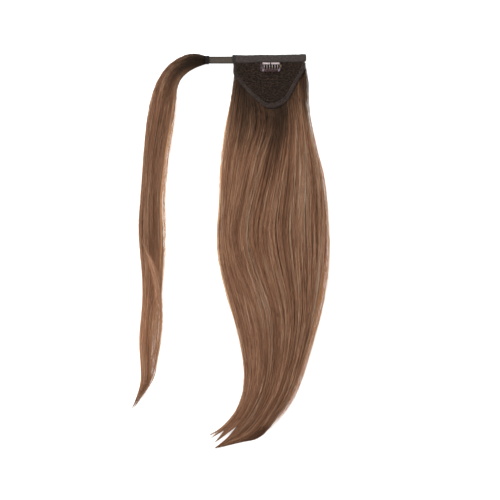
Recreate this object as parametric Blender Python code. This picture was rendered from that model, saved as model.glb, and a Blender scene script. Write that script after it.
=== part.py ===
"""A wrap-around ponytail hairpiece of straight hair, laid flat with the inside of its base up.

The base is a knitted panel with a bound edge, and hair is sewn all over its underside. A folded
band closes its top edge and holds the strap, which ends in a collar on a long strand of hair that
wraps round the finished ponytail. A snap clip with six teeth is sewn on the panel.

Metres, +Z up. The origin is the middle of the whole piece's outline, on the surface that it lies on.
+Y runs towards the top of the base and -X towards the wrapping strand.
"""

import math
from collections import namedtuple

import bmesh
import bpy
from mathutils import Vector

MM = 0.001
GAP = 0.3

# Sizes are in millimetres from here on, and place() turns them into metres.
# The base leans: its top edge lies on the table and the hair under it lifts its lower end.
BASE_LEAN_DEG = 8.0
BASE_TOP_Y = 250.0
BASE_TOP_Z = 1.75
PANEL_THICK = 1.5

# Each row is a station across the hair, from the left edge to the right, with the height of its crest.
Row = namedtuple("Row", "left_x left_y right_x right_y crest")
HAIR_ROWS = [
    Row(4.5, 238.0, 91.5, 239.5, 3.0),
    Row(1.2, 212.0, 96.2, 214.0, 8.5),
    Row(-3.2, 184.0, 98.8, 186.5, 12.5),
    Row(-8.5, 155.0, 102.8, 159.0, 15.0),
    Row(-12.6, 125.0, 109.5, 130.0, 16.5),
    Row(-14.8, 92.0, 117.5, 98.0, 17.0),
    Row(-15.6, 60.0, 121.5, 66.0, 16.5),
    Row(-17.7, 30.0, 123.8, 34.0, 16.0),
    Row(-17.4, 2.0, 124.3, 0.0, 15.5),
    Row(-12.8, -26.0, 121.5, -35.0, 15.0),
    Row(-5.2, -57.0, 115.8, -68.0, 14.5),
    Row(3.4, -88.0, 107.8, -101.0, 13.5),
    Row(11.0, -119.0, 98.5, -134.0, 12.5),
    Row(15.2, -150.0, 88.0, -167.0, 11.0),
    Row(13.3, -177.5, 75.5, -193.5, 10.0),
    Row(4.5, -202.0, 56.0, -219.0, 8.0),
    Row(-11.0, -221.3, 32.0, -237.8, 6.0),
    Row(-23.5, -232.1, 5.0, -245.0, 4.0),
    Row(-32.4, -239.1, -22.2, -251.1, 2.0),
]
WRAP_ROWS = [
    Row(-33.6, 248.2, -33.6, 237.6, 5.6),
    Row(-44.0, 250.9, -42.0, 234.6, 6.2),
    Row(-57.0, 249.8, -52.0, 229.8, 6.8),
    Row(-70.0, 243.8, -60.8, 223.2, 7.0),
    Row(-82.0, 234.2, -66.8, 214.5, 7.0),
    Row(-92.0, 220.0, -69.4, 203.0, 7.0),
    Row(-98.8, 203.5, -70.6, 191.0, 7.0),
    Row(-103.6, 186.0, -71.4, 177.0, 7.0),
    Row(-107.6, 161.0, -74.6, 156.5, 7.0),
    Row(-110.5, 129.0, -79.6, 127.0, 7.0),
    Row(-112.6, 97.0, -83.6, 96.0, 7.0),
    Row(-115.0, 65.0, -86.4, 65.0, 7.0),
    Row(-116.8, 37.0, -85.6, 37.0, 7.0),
    Row(-116.0, 8.0, -85.4, 8.0, 7.0),
    Row(-113.3, -23.0, -87.0, -23.0, 6.6),
    Row(-112.4, -55.0, -89.2, -55.0, 6.4),
    Row(-114.3, -84.0, -91.2, -84.0, 6.0),
    Row(-116.2, -112.0, -94.6, -112.0, 5.6),
    Row(-114.8, -138.0, -97.4, -136.0, 5.0),
    Row(-114.4, -160.0, -100.2, -158.0, 4.0),
    Row(-117.2, -177.0, -107.2, -174.5, 3.0),
    Row(-124.5, -197.5, -122.5, -196.0, 1.4),
]

# A lock's middle and half width are shares of the way across, and it runs from start to end, which
# are shares of the way from the root to the tips. Lift is how far its top stands out, as a share of
# the crest, and side is 1 on top and -1 underneath.
Lock = namedtuple("Lock", "middle half start end lift side")
HAIR_LOCKS = [
    Lock(0.045, 0.045, 0.02, 0.93, 0.00, 1),
    Lock(0.135, 0.070, 0.02, 0.98, 0.03, 1),
    Lock(0.245, 0.062, 0.02, 1.0, -0.03, 1),
    Lock(0.345, 0.085, 0.02, 0.955, 0.02, 1),
    Lock(0.455, 0.060, 0.02, 0.995, -0.04, 1),
    Lock(0.545, 0.075, 0.02, 0.97, 0.02, 1),
    Lock(0.655, 0.085, 0.02, 0.99, 0.00, 1),
    Lock(0.755, 0.058, 0.02, 0.96, 0.04, 1),
    Lock(0.855, 0.075, 0.02, 1.0, -0.01, 1),
    Lock(0.950, 0.045, 0.02, 0.975, 0.02, 1),
    Lock(0.14, 0.090, 0.03, 0.95, 0.0, -1),
    Lock(0.38, 0.110, 0.03, 0.97, 0.0, -1),
    Lock(0.62, 0.110, 0.03, 0.97, 0.0, -1),
    Lock(0.86, 0.090, 0.03, 0.98, 0.0, -1),
]
WRAP_LOCKS = [
    Lock(0.12, 0.130, 0.03, 0.97, 0.0, 1),
    Lock(0.37, 0.170, 0.03, 1.0, 0.05, 1),
    Lock(0.63, 0.160, 0.03, 0.985, -0.02, 1),
    Lock(0.87, 0.120, 0.03, 0.94, 0.03, 1),
]

# The middle of a thin lock that leaves the wrapping strand's inner edge.
Point = namedtuple("Point", "x y z half")
STRAY_LOCK = [
    Point(-92.0, -36.0, 3.2, 2.0),
    Point(-89.4, -56.0, 3.2, 1.9),
    Point(-88.9, -76.0, 3.0, 1.5),
    Point(-89.9, -97.0, 2.6, 1.3),
    Point(-91.8, -118.0, 2.2, 1.2),
    Point(-94.0, -137.0, 1.9, 1.0),
    Point(-96.0, -155.0, 1.5, 0.5),
]


def catmull_rom(before, here, after, beyond, f):
    """The value at f, from 0 at here to 1 at after, on a smooth curve through four values."""
    slope_in, slope_out = (after - before) / 2, (beyond - here) / 2
    rise = after - here
    square, cube = 3 * rise - 2 * slope_in - slope_out, slope_in + slope_out - 2 * rise
    return here + f * (slope_in + f * (square + f * cube))


def row_at(rows, t):
    """The row at t, from 0 at the first to 1 at the last."""
    last = len(rows) - 1
    i = min(int(t * last), last - 1)
    near = [rows[max(0, min(last, i + k))] for k in (-1, 0, 1, 2)]
    return Row(*(catmull_rom(*values, t * last - i) for values in zip(*near)))


def across(row, u, z):
    """The point at u, from 0 at the row's left edge to 1 at its right."""
    wide, rise = row.right_x - row.left_x, row.right_y - row.left_y
    return Vector((row.left_x + wide * u, row.left_y + rise * u, z))


# How far the locks wander across at t, as a share of the width, in the middle of the hair.
Sweep = namedtuple("Sweep", "t shift")
SWEEPS = [
    Sweep(0.00, -0.05),
    Sweep(0.08, -0.03),
    Sweep(0.20, 0.14),
    Sweep(0.28, 0.12),
    Sweep(0.37, -0.04),
    Sweep(0.45, -0.16),
    Sweep(0.52, -0.14),
    Sweep(0.60, 0.00),
    Sweep(0.68, 0.07),
    Sweep(0.82, 0.02),
    Sweep(1.00, 0.00),
]


def wander(u, t):
    """Where a lock runs across, right, left and right again, and how far that lifts it."""
    after = next(k for k, sweep in enumerate(SWEEPS) if k and sweep.t >= min(t, 1.0))
    near, far = SWEEPS[after - 1], SWEEPS[after]
    f = (t - near.t) / (far.t - near.t)
    return u + math.sin(math.pi * u) * (near.shift + (far.shift - near.shift) * f * f * (3 - 2 * f)), 0.0


def twist(u, t):
    """Where a lock runs across in a half turn of the strand, and how far that lifts it."""
    turn = math.pi * max(0.0, min(1.0, (t - 0.60) / 0.2))
    return 0.5 + (u - 0.5) * math.cos(turn), (0.5 - u) * 0.7 * math.sin(turn)


def bow(u):
    """The height of the hair at u, as a share of its crest above its edges."""
    return max(0.0, 1 - abs(2 * u - 1) ** 2.6) ** 0.6


def place(obj, parent=None):
    """Puts the object in the part's collection, under its parent."""
    part.objects.link(obj)
    obj.parent = parent
    return obj


def as_helper(obj):
    """The object shapes another one and isn't a piece itself."""
    helpers.objects.link(obj)
    obj.hide_render = True
    obj.display_type = "WIRE"
    return obj


def object_of(bm, name):
    """A new object from a bmesh in millimetres, its faces pointing out."""
    bmesh.ops.recalc_face_normals(bm, faces=bm.faces)
    bmesh.ops.scale(bm, vec=(MM, MM, MM), verts=bm.verts)
    mesh = bpy.data.meshes.new(name)
    bm.to_mesh(mesh)
    bm.free()
    return bpy.data.objects.new(name, mesh)


def loft(name, rings):
    """A solid through rings that have as many points each, with flat ends."""
    bm = bmesh.new()
    loops = [[bm.verts.new(point) for point in ring] for ring in rings]
    for near, far in zip(loops, loops[1:]):
        for k in range(len(near)):
            after = (k + 1) % len(near)
            bm.faces.new((near[k], near[after], far[after], far[k]))
    bm.faces.new(loops[0])
    bm.faces.new(loops[-1])
    return object_of(bm, name)


def slab(name, outline, low, high):
    """A flat solid of this outline between two heights."""
    bm = bmesh.new()
    floor = bm.faces.new([bm.verts.new((x, y, low)) for x, y in outline])
    raised = bmesh.ops.extrude_face_region(bm, geom=[floor])["geom"]
    corners = [item for item in raised if isinstance(item, bmesh.types.BMVert)]
    bmesh.ops.translate(bm, vec=(0, 0, high - low), verts=corners)
    return object_of(bm, name)


def combine(obj, other, operation):
    modifier = obj.modifiers.new(other.name, "BOOLEAN")
    modifier.operation = operation
    modifier.object = other


def paint(obj, name, colour, roughness, metallic=0.0):
    material = bpy.data.materials.new(name)
    material.use_nodes = True
    shader = material.node_tree.nodes["Principled BSDF"]
    shader.inputs["Base Color"].default_value = (*colour, 1.0)
    shader.inputs["Roughness"].default_value = roughness
    shader.inputs["Metallic"].default_value = metallic
    obj.data.materials.append(material)


# Hair: a flattened core with locks fused along its top and bottom, each tapering to its own tip.
EDGE_HEIGHT = 0.35
CORE_SIDES = 18
LOCK_SIDES = 8
LOCK_HEIGHT = 0.24
LOCK_SINK = 0.3
CORE_TAPER = 0.90
CORE_END = 0.965


def core_ring(rows, t):
    """A section of the core: bowed on top, nearly flat where it lies on the table, narrow at the tips."""
    row = row_at(rows, t)
    edge = EDGE_HEIGHT * row.crest
    top = (1 - LOCK_HEIGHT * (1 - LOCK_SINK)) * row.crest
    width = min(1.0, 1 - 0.8 * (t - CORE_TAPER) / (CORE_END - CORE_TAPER))
    top *= 0.5 + 0.5 * width
    ring = []
    for k in range(CORE_SIDES):
        turn = math.tau * k / CORE_SIDES
        side, rise = math.cos(turn), math.sin(turn)
        u = 0.5 + 0.5 * width * math.copysign(abs(side) ** 0.8, side)
        z = edge + (top - edge) * rise**0.8 if rise > 0 else edge * (1 - 0.92 * abs(rise) ** 0.4)
        ring.append(across(row, u, z))
    return ring


def lock_rings(rows, lock, path, stations):
    """Sections of one lock, which rides half sunk on the core along this path."""
    rings = []
    for k in range(stations + 1):
        share = k / stations
        t = lock.start + (lock.end - lock.start) * share
        row = row_at(rows, t)
        swell = min(1.0, 0.45 + share * 8, 0.15 + (1 - share) * 7)
        u, lift = path(lock.middle, t)
        edge = EDGE_HEIGHT * row.crest
        if lock.side > 0:
            high = LOCK_HEIGHT * row.crest
            middle = edge + (row.crest - edge) * bow(u) - high + (lock.lift + lift) * row.crest
        else:
            high = 0.1 * row.crest
            middle = high
        ring = []
        for j in range(LOCK_SIDES):
            turn = math.tau * (j + 0.5) / LOCK_SIDES
            aside, up = lock.half * swell * math.cos(turn), high * swell * math.sin(turn)
            ring.append(across(row, u + aside, middle + up))
        rings.append(ring)
    return rings


def hair(name, rows, locks, path, stations):
    """The core and its locks as one solid."""
    core = place(loft(name, [core_ring(rows, CORE_END * k / stations) for k in range(stations + 1)]))
    for k, lock in enumerate(locks):
        rings = lock_rings(rows, lock, path, stations + 1 + k % 2)
        combine(core, as_helper(loft(f"{name}_lock_{k}", rings)), "UNION")
    return core


def stray_lock():
    rings = []
    for point in STRAY_LOCK:
        turns = [math.tau * (k + 0.5) / LOCK_SIDES for k in range(LOCK_SIDES)]
        round_it = [(point.half * math.cos(a), point.half * math.sin(a)) for a in turns]
        rings.append([(point.x + dx, point.y, point.z + dz) for dx, dz in round_it])
    return loft("stray_lock", rings)


# Base: its outer edge from the band's left end round the lower end to the right, in the base's own
# plane, from its top edge down. Width is how far the edge binding reaches in.
Edge = namedtuple("Edge", "x y width")
BASE_EDGE = [
    Edge(4.5, -11.6, 4.4),
    Edge(4.9, -24.2, 4.8),
    Edge(9.3, -31.2, 5.0),
    Edge(18.0, -42.4, 5.0),
    Edge(27.6, -52.4, 4.8),
    Edge(37.0, -60.8, 5.2),
    Edge(44.0, -65.8, 5.8),
    Edge(51.0, -66.8, 6.6),
    Edge(59.8, -64.0, 6.8),
    Edge(68.2, -58.2, 6.4),
    Edge(74.0, -49.6, 5.8),
    Edge(79.8, -38.2, 5.2),
    Edge(85.2, -28.6, 5.0),
    Edge(90.0, -18.8, 4.8),
    Edge(92.0, -10.6, 4.4),
]
BINDING_WALL = 0.9
BINDING_ROUND = 0.5
EDGE_STEPS = 2


def base_edge():
    """The edge's table with points between its rows, and each point's direction inwards."""
    last = len(BASE_EDGE) - 1
    points = []
    for k in range(last * EDGE_STEPS + 1):
        i = min(k // EDGE_STEPS, last - 1)
        near = [BASE_EDGE[max(0, min(last, i + n))] for n in (-1, 0, 1, 2)]
        points.append(Edge(*(catmull_rom(*values, k / EDGE_STEPS - i) for values in zip(*near))))
    found = []
    for k, point in enumerate(points):
        before, after = points[max(0, k - 1)], points[min(len(points) - 1, k + 1)]
        along = Vector((after.x - before.x, after.y - before.y)).normalized()
        found.append((point, Vector((-along.y, along.x))))
    return found


def inset(distance):
    return [(point.x + inward.x * distance, point.y + inward.y * distance) for point, inward in base_edge()]


def binding_ring(point, inward):
    """The tape folded round the panel's edge: over, round and under."""
    wall, reach = BINDING_WALL, point.width
    top, bottom = PANEL_THICK + GAP + wall, -GAP - wall
    profile = [
        (reach, top),
        (BINDING_ROUND, top),
        (0, top - BINDING_ROUND),
        (0, bottom + BINDING_ROUND),
        (BINDING_ROUND, bottom),
        (reach, bottom),
        (reach, bottom + wall),
        (wall, bottom + wall),
        (wall, top - wall),
        (reach, top - wall),
    ]
    return [(point.x + inward.x * d, point.y + inward.y * d, z) for d, z in profile]


# Band: a tape folded over the base's top edge, a little uneven along it.
Station = namedtuple("Station", "x top bottom")
BAND = [
    Station(0.8, -0.5, -11.0),
    Station(3.5, -0.4, -11.0),
    Station(20.0, -0.9, -10.7),
    Station(38.0, -0.3, -10.1),
    Station(56.0, -0.5, -9.9),
    Station(75.0, 0.1, -9.6),
    Station(93.0, 0.4, -9.2),
    Station(94.8, 0.4, -8.6),
]
BAND_WALL = 1.2
STRAP_HEIGHT = 8.4
STRAP_THICK = 1.1
STRAP_IN_BAND = 21.0
STRAP_TOP = -2.8
COLLAR_LEFT, COLLAR_RIGHT = -33.3, -28.4
COLLAR_HEIGHT, COLLAR_THICK = 11.4, 6.0
SOCKET_DEPTH = 2.4
PANEL_TOP = -3.0


def band_ring(station):
    """The tape's section: its upper side, the fold at its top edge and its lower side."""
    top, bottom = PANEL_THICK + GAP + BAND_WALL, -GAP - BAND_WALL
    middle, outer = (top + bottom) / 2, (top - bottom) / 2
    inner = outer - BAND_WALL
    bend = [math.radians(a) for a in (90, 54, 18, -18, -54, -90)]
    inner_top = station.top - BAND_WALL
    outside = [(station.top - outer * 0.6 * (1 - math.cos(a)), middle + outer * math.sin(a)) for a in bend]
    inside = [(inner_top - inner * 0.6 * (1 - math.cos(a)), middle + inner * math.sin(a)) for a in bend]
    profile = [(station.bottom, top)] + outside + [(station.bottom, bottom)]
    profile += [(station.bottom, bottom + BAND_WALL)] + inside[::-1] + [(station.bottom, top - BAND_WALL)]
    return [(station.x, y, z) for y, z in profile]


def band():
    return loft("loop_band", [band_ring(station) for station in BAND])


def panel():
    """The knitted panel, with a notch at its top left where the strap lies in the band."""
    edge = inset(BINDING_WALL + GAP)
    left, right = edge[0][0], edge[-1][0]
    notch_y = STRAP_TOP - STRAP_HEIGHT - GAP
    notch_x = STRAP_IN_BAND + GAP
    top = [(right, PANEL_TOP), (notch_x, PANEL_TOP), (notch_x, notch_y), (left, notch_y)]
    return slab("weft_base", edge + top, 0, PANEL_THICK)


# Strap: a flat tape whose free stretch sags a little between the band and the collar.
STRAP_SAG = 0.5
STRAP_STATIONS = 8


def strap():
    free_from = COLLAR_RIGHT - SOCKET_DEPTH + GAP
    rings = []
    stops = [free_from + (0.6 - free_from) * k / STRAP_STATIONS for k in range(STRAP_STATIONS + 1)]
    for x in stops + [STRAP_IN_BAND]:
        share = max(0.0, min(1.0, (x - COLLAR_RIGHT) / (0.6 - COLLAR_RIGHT)))
        low = (PANEL_THICK - STRAP_THICK) / 2 - STRAP_SAG * math.sin(math.pi * share)
        y0, y1 = STRAP_TOP - STRAP_HEIGHT, STRAP_TOP
        rings.append([(x, y0, low), (x, y1, low), (x, y1, low + STRAP_THICK), (x, y0, low + STRAP_THICK)])
    return loft("hook_strap", rings)


def collar():
    """A bound sleeve, swollen in the middle, with a socket for the strap's end."""
    middle_y, middle_z = STRAP_TOP - STRAP_HEIGHT / 2, PANEL_THICK / 2
    rings = []
    for x, swell in ((0.0, 0.86), (0.12, 0.95), (0.5, 1.0), (0.88, 0.95), (1.0, 0.86)):
        ring = []
        for k in range(16):
            turn = math.tau * (k + 0.5) / 16
            y = math.copysign(abs(math.cos(turn)) ** 0.7, math.cos(turn)) * COLLAR_HEIGHT / 2
            z = math.copysign(abs(math.sin(turn)) ** 0.7, math.sin(turn)) * COLLAR_THICK / 2
            place_x = COLLAR_LEFT + (COLLAR_RIGHT - COLLAR_LEFT) * x
            ring.append((place_x, middle_y + y * swell, middle_z + z * swell))
        rings.append(ring)
    sleeve = loft("strand_collar", rings)
    half_y, half_z = STRAP_HEIGHT / 2 + GAP, STRAP_THICK / 2 + GAP
    corners = [(middle_y - half_y, middle_z - half_z), (middle_y + half_y, middle_z - half_z)]
    corners += [(middle_y + half_y, middle_z + half_z), (middle_y - half_y, middle_z + half_z)]
    ends = (COLLAR_RIGHT - SOCKET_DEPTH, COLLAR_RIGHT + 1)
    socket = as_helper(loft("strap_socket", [[(x, y, z) for y, z in corners] for x in ends]))
    combine(sleeve, socket, "DIFFERENCE")
    return sleeve, socket


# Clip: a stamped frame with a tab at each end and a rail along its lower side, and a comb whose
# spine turns in a rolled eye on each tab. Places are measured from the clip's middle, on the panel.
CLIP_X, CLIP_Y = 50.0, -11.7
CLIP_Z = PANEL_THICK + GAP
STEEL = 0.6
TAB_OUT, TAB_IN = 14.2, 10.6
RAIL_TOP, RAIL_BOTTOM = -7.6, -10.6
TAB_TOP = 1.3
SEW_HOLE_R = 0.6
SEW_HOLE_X = -13.1
SEW_HOLE_Y = (-0.6, -4.5, -8.3)
RIVET_X, RIVET_Y = 11.7, -3.5
RIVET_OUT, RIVET_IN, RIVET_HOLE = 1.35, 0.55, 1.0
PIN_R = 0.5
EYE_OUT, EYE_IN = 0.95, 0.6
EYE_LEFT, EYE_RIGHT = 10.7, 12.2
PIVOT_Z = CLIP_Z + STEEL + 0.55
SPINE_HALF = 10.35
SPINE_TOP, SPINE_BOTTOM = 1.0, -1.8
TEETH = 6
TOOTH_PITCH = 3.4
TOOTH_WIDTH = 1.1
# A tooth from the spine to its tip: how far down the panel, how high above the pivot, and how wide.
Bend = namedtuple("Bend", "y z width")
TOOTH = [
    Bend(-1.5, 0.0, 1.0),
    Bend(-3.6, 0.55, 1.0),
    Bend(-6.2, 0.75, 1.0),
    Bend(-9.1, 0.5, 0.9),
    Bend(-11.4, 0.0, 0.75),
    Bend(-13.4, -0.7, 0.4),
]


def circle(x, y, radius, sides):
    turns = [math.tau * k / sides for k in range(sides)]
    return [(x + radius * math.cos(turn), y + radius * math.sin(turn)) for turn in turns]


def ring_along_x(x, y, z, radius, sides):
    return [(x, y + dy, z + dz) for dy, dz in circle(0, 0, radius, sides)]


def arc(x, y, radius, start, end, steps):
    """Points on an arc, its angles in degrees."""
    angles = [math.radians(start + (end - start) * k / steps) for k in range(steps + 1)]
    return [(x + radius * math.cos(a), y + radius * math.sin(a)) for a in angles]


def clip_frame():
    """The frame with its sewing holes and its rivet's hole, and the two eyes fused on its tabs."""
    corner = 1.6
    outline = arc(-TAB_OUT + corner, TAB_TOP - corner, corner, 90, 180, 3)
    outline += arc(-TAB_OUT + 2 * corner, RAIL_BOTTOM + 2 * corner, 2 * corner, 180, 270, 4)
    outline += arc(TAB_IN - 1.2, RAIL_BOTTOM + 2 * corner, 2 * corner, 270, 315, 3)
    outline += arc(TAB_OUT - 3.0, RIVET_Y, 3.0, -60, 60, 6)
    outline += [(EYE_RIGHT, TAB_TOP), (TAB_IN, TAB_TOP), (TAB_IN, RAIL_TOP + 1.0), (TAB_IN - 1.0, RAIL_TOP)]
    outline += [(-TAB_IN + 1.0, RAIL_TOP), (-TAB_IN, RAIL_TOP + 1.0), (-TAB_IN, TAB_TOP)]
    plate = slab("clip_frame", outline, CLIP_Z, CLIP_Z + STEEL)
    holes = [(SEW_HOLE_X, y, SEW_HOLE_R) for y in SEW_HOLE_Y] + [(RIVET_X, RIVET_Y, RIVET_HOLE)]
    cutters = []
    for k, (x, y, radius) in enumerate(holes):
        drill = as_helper(slab(f"clip_hole_{k}", circle(x, y, radius, 12), CLIP_Z - 1, CLIP_Z + STEEL + 1))
        combine(plate, drill, "DIFFERENCE")
        cutters.append(drill)
    for k, side in enumerate((-1, 1)):
        ends = sorted((side * EYE_LEFT, side * EYE_RIGHT))
        eye = as_helper(loft(f"clip_eye_{k}", [ring_along_x(x, 0, PIVOT_Z, EYE_OUT, 12) for x in ends]))
        combine(plate, eye, "UNION")
        inner = (side * (EYE_LEFT - 1), side * (EYE_RIGHT - 0.4))
        bore = as_helper(loft(f"clip_bore_{k}", [ring_along_x(x, 0, PIVOT_Z, EYE_IN, 12) for x in inner]))
        combine(plate, bore, "DIFFERENCE")
        cutters += [eye, bore]
    return plate, cutters


def tooth(k):
    """One tooth, a strip that arches over the frame's rail and turns down at its tip."""
    middle = (k - (TEETH - 1) / 2) * TOOTH_PITCH
    rings = []
    for bend in [Bend(-0.4, 0.0, 1.0)] + TOOTH:
        half, thin = bend.width * TOOTH_WIDTH / 2, STEEL / 2 - 0.02
        height = PIVOT_Z + bend.z
        corners = [(-half, -thin), (half, -thin), (half, thin), (-half, thin)]
        rings.append([(middle + dx, bend.y, height + dz) for dx, dz in corners])
    return loft(f"comb_tooth_{k}", rings)


def clip_comb():
    """The spine, its round ends and its teeth, modelled on its axis."""
    section = [(SPINE_BOTTOM, -0.3), (SPINE_BOTTOM, 0.2), (-1.1, 0.45)]
    section += [(0.3, 0.45), (SPINE_TOP, 0.2), (SPINE_TOP, -0.3)]
    spine = loft("clip_comb", [[(x, y, PIVOT_Z + z) for y, z in section] for x in (-SPINE_HALF, SPINE_HALF)])
    pieces = [as_helper(tooth(k)) for k in range(TEETH)]
    for side in (-1, 1):
        ends = (side * (SPINE_HALF - 1), side * (EYE_RIGHT - 0.7))
        rings = [ring_along_x(x, 0, PIVOT_Z, PIN_R, 12) for x in ends]
        pieces.append(as_helper(loft(f"comb_pin_{side + 1}", rings)))
    for piece in pieces:
        combine(spine, piece, "UNION")
    return spine, pieces


def clip_rivet():
    """A brass eyelet in the round tab, turned."""
    low, high = CLIP_Z - 0.1, CLIP_Z + STEEL + GAP
    wall = RIVET_HOLE - GAP
    profile = [(RIVET_IN, low), (RIVET_IN, high + 0.3), (RIVET_OUT - 0.3, high + 0.3)]
    profile += [(RIVET_OUT, high), (wall, high), (wall, low)]
    bm = bmesh.new()
    points = [bm.verts.new((r, 0, z)) for r, z in profile]
    edges = [bm.edges.new((a, b)) for a, b in zip(points, points[1:] + points[:1])]
    bmesh.ops.spin(bm, geom=points + edges, cent=(0, 0, 0), axis=(0, 0, 1), angle=math.tau, steps=14,
                   use_merge=True)
    bmesh.ops.translate(bm, vec=(RIVET_X, RIVET_Y, 0), verts=bm.verts)
    return object_of(bm, "clip_rivet")


for old in list(bpy.data.objects):
    bpy.data.objects.remove(old)
part = bpy.data.collections.new("ponytail_hairpiece")
helpers = bpy.data.collections.new("helpers")
bpy.context.scene.collection.children.link(part)
bpy.context.scene.collection.children.link(helpers)

base_seat = place(bpy.data.objects.new("base_seat", None))
base_seat.location = (0, BASE_TOP_Y * MM, BASE_TOP_Z * MM)
base_seat.rotation_euler = (-math.radians(BASE_LEAN_DEG), 0, 0)
clip_seat = place(bpy.data.objects.new("clip_seat", None), base_seat)
clip_seat.location = (CLIP_X * MM, CLIP_Y * MM, 0)

ponytail = hair("ponytail_hair", HAIR_ROWS, HAIR_LOCKS, wander, 26)
# The base presses a flat seat into the hair, and the hair is sewn to the panel inside its binding.
press_outline = inset(-0.4) + [(96.0, 3.0), (0.0, 3.0)]
press = as_helper(slab("base_press", press_outline, -GAP - BAND_WALL - GAP, 40))
press.parent = base_seat
combine(ponytail, press, "DIFFERENCE")
seam = as_helper(slab("weft_seam", [(x, y) for x, y in inset(7.2) if y < -14], -3.0, -GAP))
seam.parent = base_seat
combine(ponytail, seam, "UNION")
paint(ponytail, "ponytail_hair", (0.19, 0.105, 0.066), 0.45)

wrap = hair("wrap_strand", WRAP_ROWS, WRAP_LOCKS, twist, 30)
combine(wrap, as_helper(stray_lock()), "UNION")
paint(wrap, "wrap_strand", (0.23, 0.135, 0.086), 0.45)

paint(place(panel(), base_seat), "knit", (0.022, 0.017, 0.015), 0.9)
binding = loft("edge_binding", [binding_ring(point, inward) for point, inward in base_edge()])
paint(place(binding, base_seat), "binding_tape", (0.036, 0.028, 0.025), 0.85)
paint(place(band(), base_seat), "band_tape", (0.062, 0.051, 0.048), 0.9)
paint(place(strap(), base_seat), "strap_tape", (0.09, 0.07, 0.055), 0.85)
sleeve, socket = collar()
socket.parent = base_seat
paint(place(sleeve, base_seat), "collar_thread", (0.02, 0.017, 0.016), 0.8)

frame, frame_helpers = clip_frame()
comb, comb_helpers = clip_comb()
for helper in frame_helpers + comb_helpers:
    helper.parent = clip_seat
paint(place(frame, clip_seat), "bronze_steel", (0.16, 0.10, 0.09), 0.35, 0.9)
paint(place(comb, clip_seat), "bronze_comb", (0.2, 0.14, 0.13), 0.3, 0.9)
paint(place(clip_rivet(), clip_seat), "brass", (0.5, 0.4, 0.16), 0.35, 1.0)
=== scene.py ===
"""The looks of a wrap-around ponytail hairpiece, laid flat with the inside of its base up."""

import math
import random
from collections import namedtuple
from functools import lru_cache

import bmesh
import bpy
import numpy as np
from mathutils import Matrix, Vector, noise


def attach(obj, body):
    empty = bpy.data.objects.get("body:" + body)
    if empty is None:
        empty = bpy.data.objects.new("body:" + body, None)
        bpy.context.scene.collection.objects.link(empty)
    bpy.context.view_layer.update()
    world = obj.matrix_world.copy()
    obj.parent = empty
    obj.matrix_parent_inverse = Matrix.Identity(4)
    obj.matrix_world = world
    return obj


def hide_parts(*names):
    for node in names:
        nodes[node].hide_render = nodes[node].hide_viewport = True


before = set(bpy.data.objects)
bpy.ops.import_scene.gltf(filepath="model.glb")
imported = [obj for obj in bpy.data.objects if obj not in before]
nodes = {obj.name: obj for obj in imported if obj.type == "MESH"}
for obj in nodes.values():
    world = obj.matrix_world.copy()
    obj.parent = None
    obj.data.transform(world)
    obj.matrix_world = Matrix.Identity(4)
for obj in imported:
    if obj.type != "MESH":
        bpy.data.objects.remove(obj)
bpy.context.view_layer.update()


# Studio: a white table under a broad soft light, seen from straight above. A weaker light from the
# upper left draws the shine along the locks.
MM = 0.001
PIXEL = 1.27
FRAME_PIXELS = 500
LENS = 120.0
ORIGIN_PIXEL = (231.5, 251.75)


def from_pixel(x, y):
    """The place on the table, in millimetres, under this pixel of the photograph."""
    return (x - ORIGIN_PIXEL[0]) * PIXEL, (ORIGIN_PIXEL[1] - y) * PIXEL


scene = bpy.context.scene
middle_x, middle_y = from_pixel(FRAME_PIXELS / 2, FRAME_PIXELS / 2)
camera_data = bpy.data.cameras.new("camera")
camera_data.lens = LENS
camera = bpy.data.objects.new("camera", camera_data)
height = FRAME_PIXELS * PIXEL * MM * LENS / camera_data.sensor_width
camera.location = (middle_x * MM, middle_y * MM, height)
camera_data.clip_start = 0.05
camera_data.clip_end = 20
scene.collection.objects.link(camera)
scene.camera = camera
scene.view_settings.view_transform = "Standard"

world = bpy.data.worlds.new("studio")
world.use_nodes = True
air = world.node_tree.nodes["Background"].inputs
air["Color"].default_value = (1.0, 1.0, 1.0, 1.0)
air["Strength"].default_value = 0.45
scene.world = world


def softbox(name, place, size, power):
    data = bpy.data.lights.new(name, "AREA")
    data.shape = "RECTANGLE"
    data.size, data.size_y = size
    data.energy = power
    light = bpy.data.objects.new(name, data)
    light.location = place
    light.rotation_euler = (Vector((0, 0, 0)) - Vector(place)).to_track_quat("-Z", "Y").to_euler()
    scene.collection.objects.link(light)


softbox("key", (-0.9, 0.9, 1.3), (0.6, 0.6), 27)
softbox("fill", (1.2, 0.1, 1.5), (1.2, 1.2), 7)
softbox("shine", (0.0, 0.62, 1.9), (0.7, 0.25), 5)

table = bpy.data.objects.new("table", bpy.data.meshes.new("table"))
flat = bmesh.new()
bmesh.ops.create_grid(flat, x_segments=1, y_segments=1, size=3.0)
flat.to_mesh(table.data)
flat.free()
scene.collection.objects.link(table)
white = bpy.data.materials.new("white_table")
white.use_nodes = True
paint = white.node_tree.nodes["Principled BSDF"].inputs
paint["Base Color"].default_value = (0.8, 0.8, 0.8, 1.0)
paint["Roughness"].default_value = 0.9
paint["Emission Color"].default_value = (1.0, 1.0, 1.0, 1.0)
paint["Emission Strength"].default_value = 0.75
table.data.materials.append(white)


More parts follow.
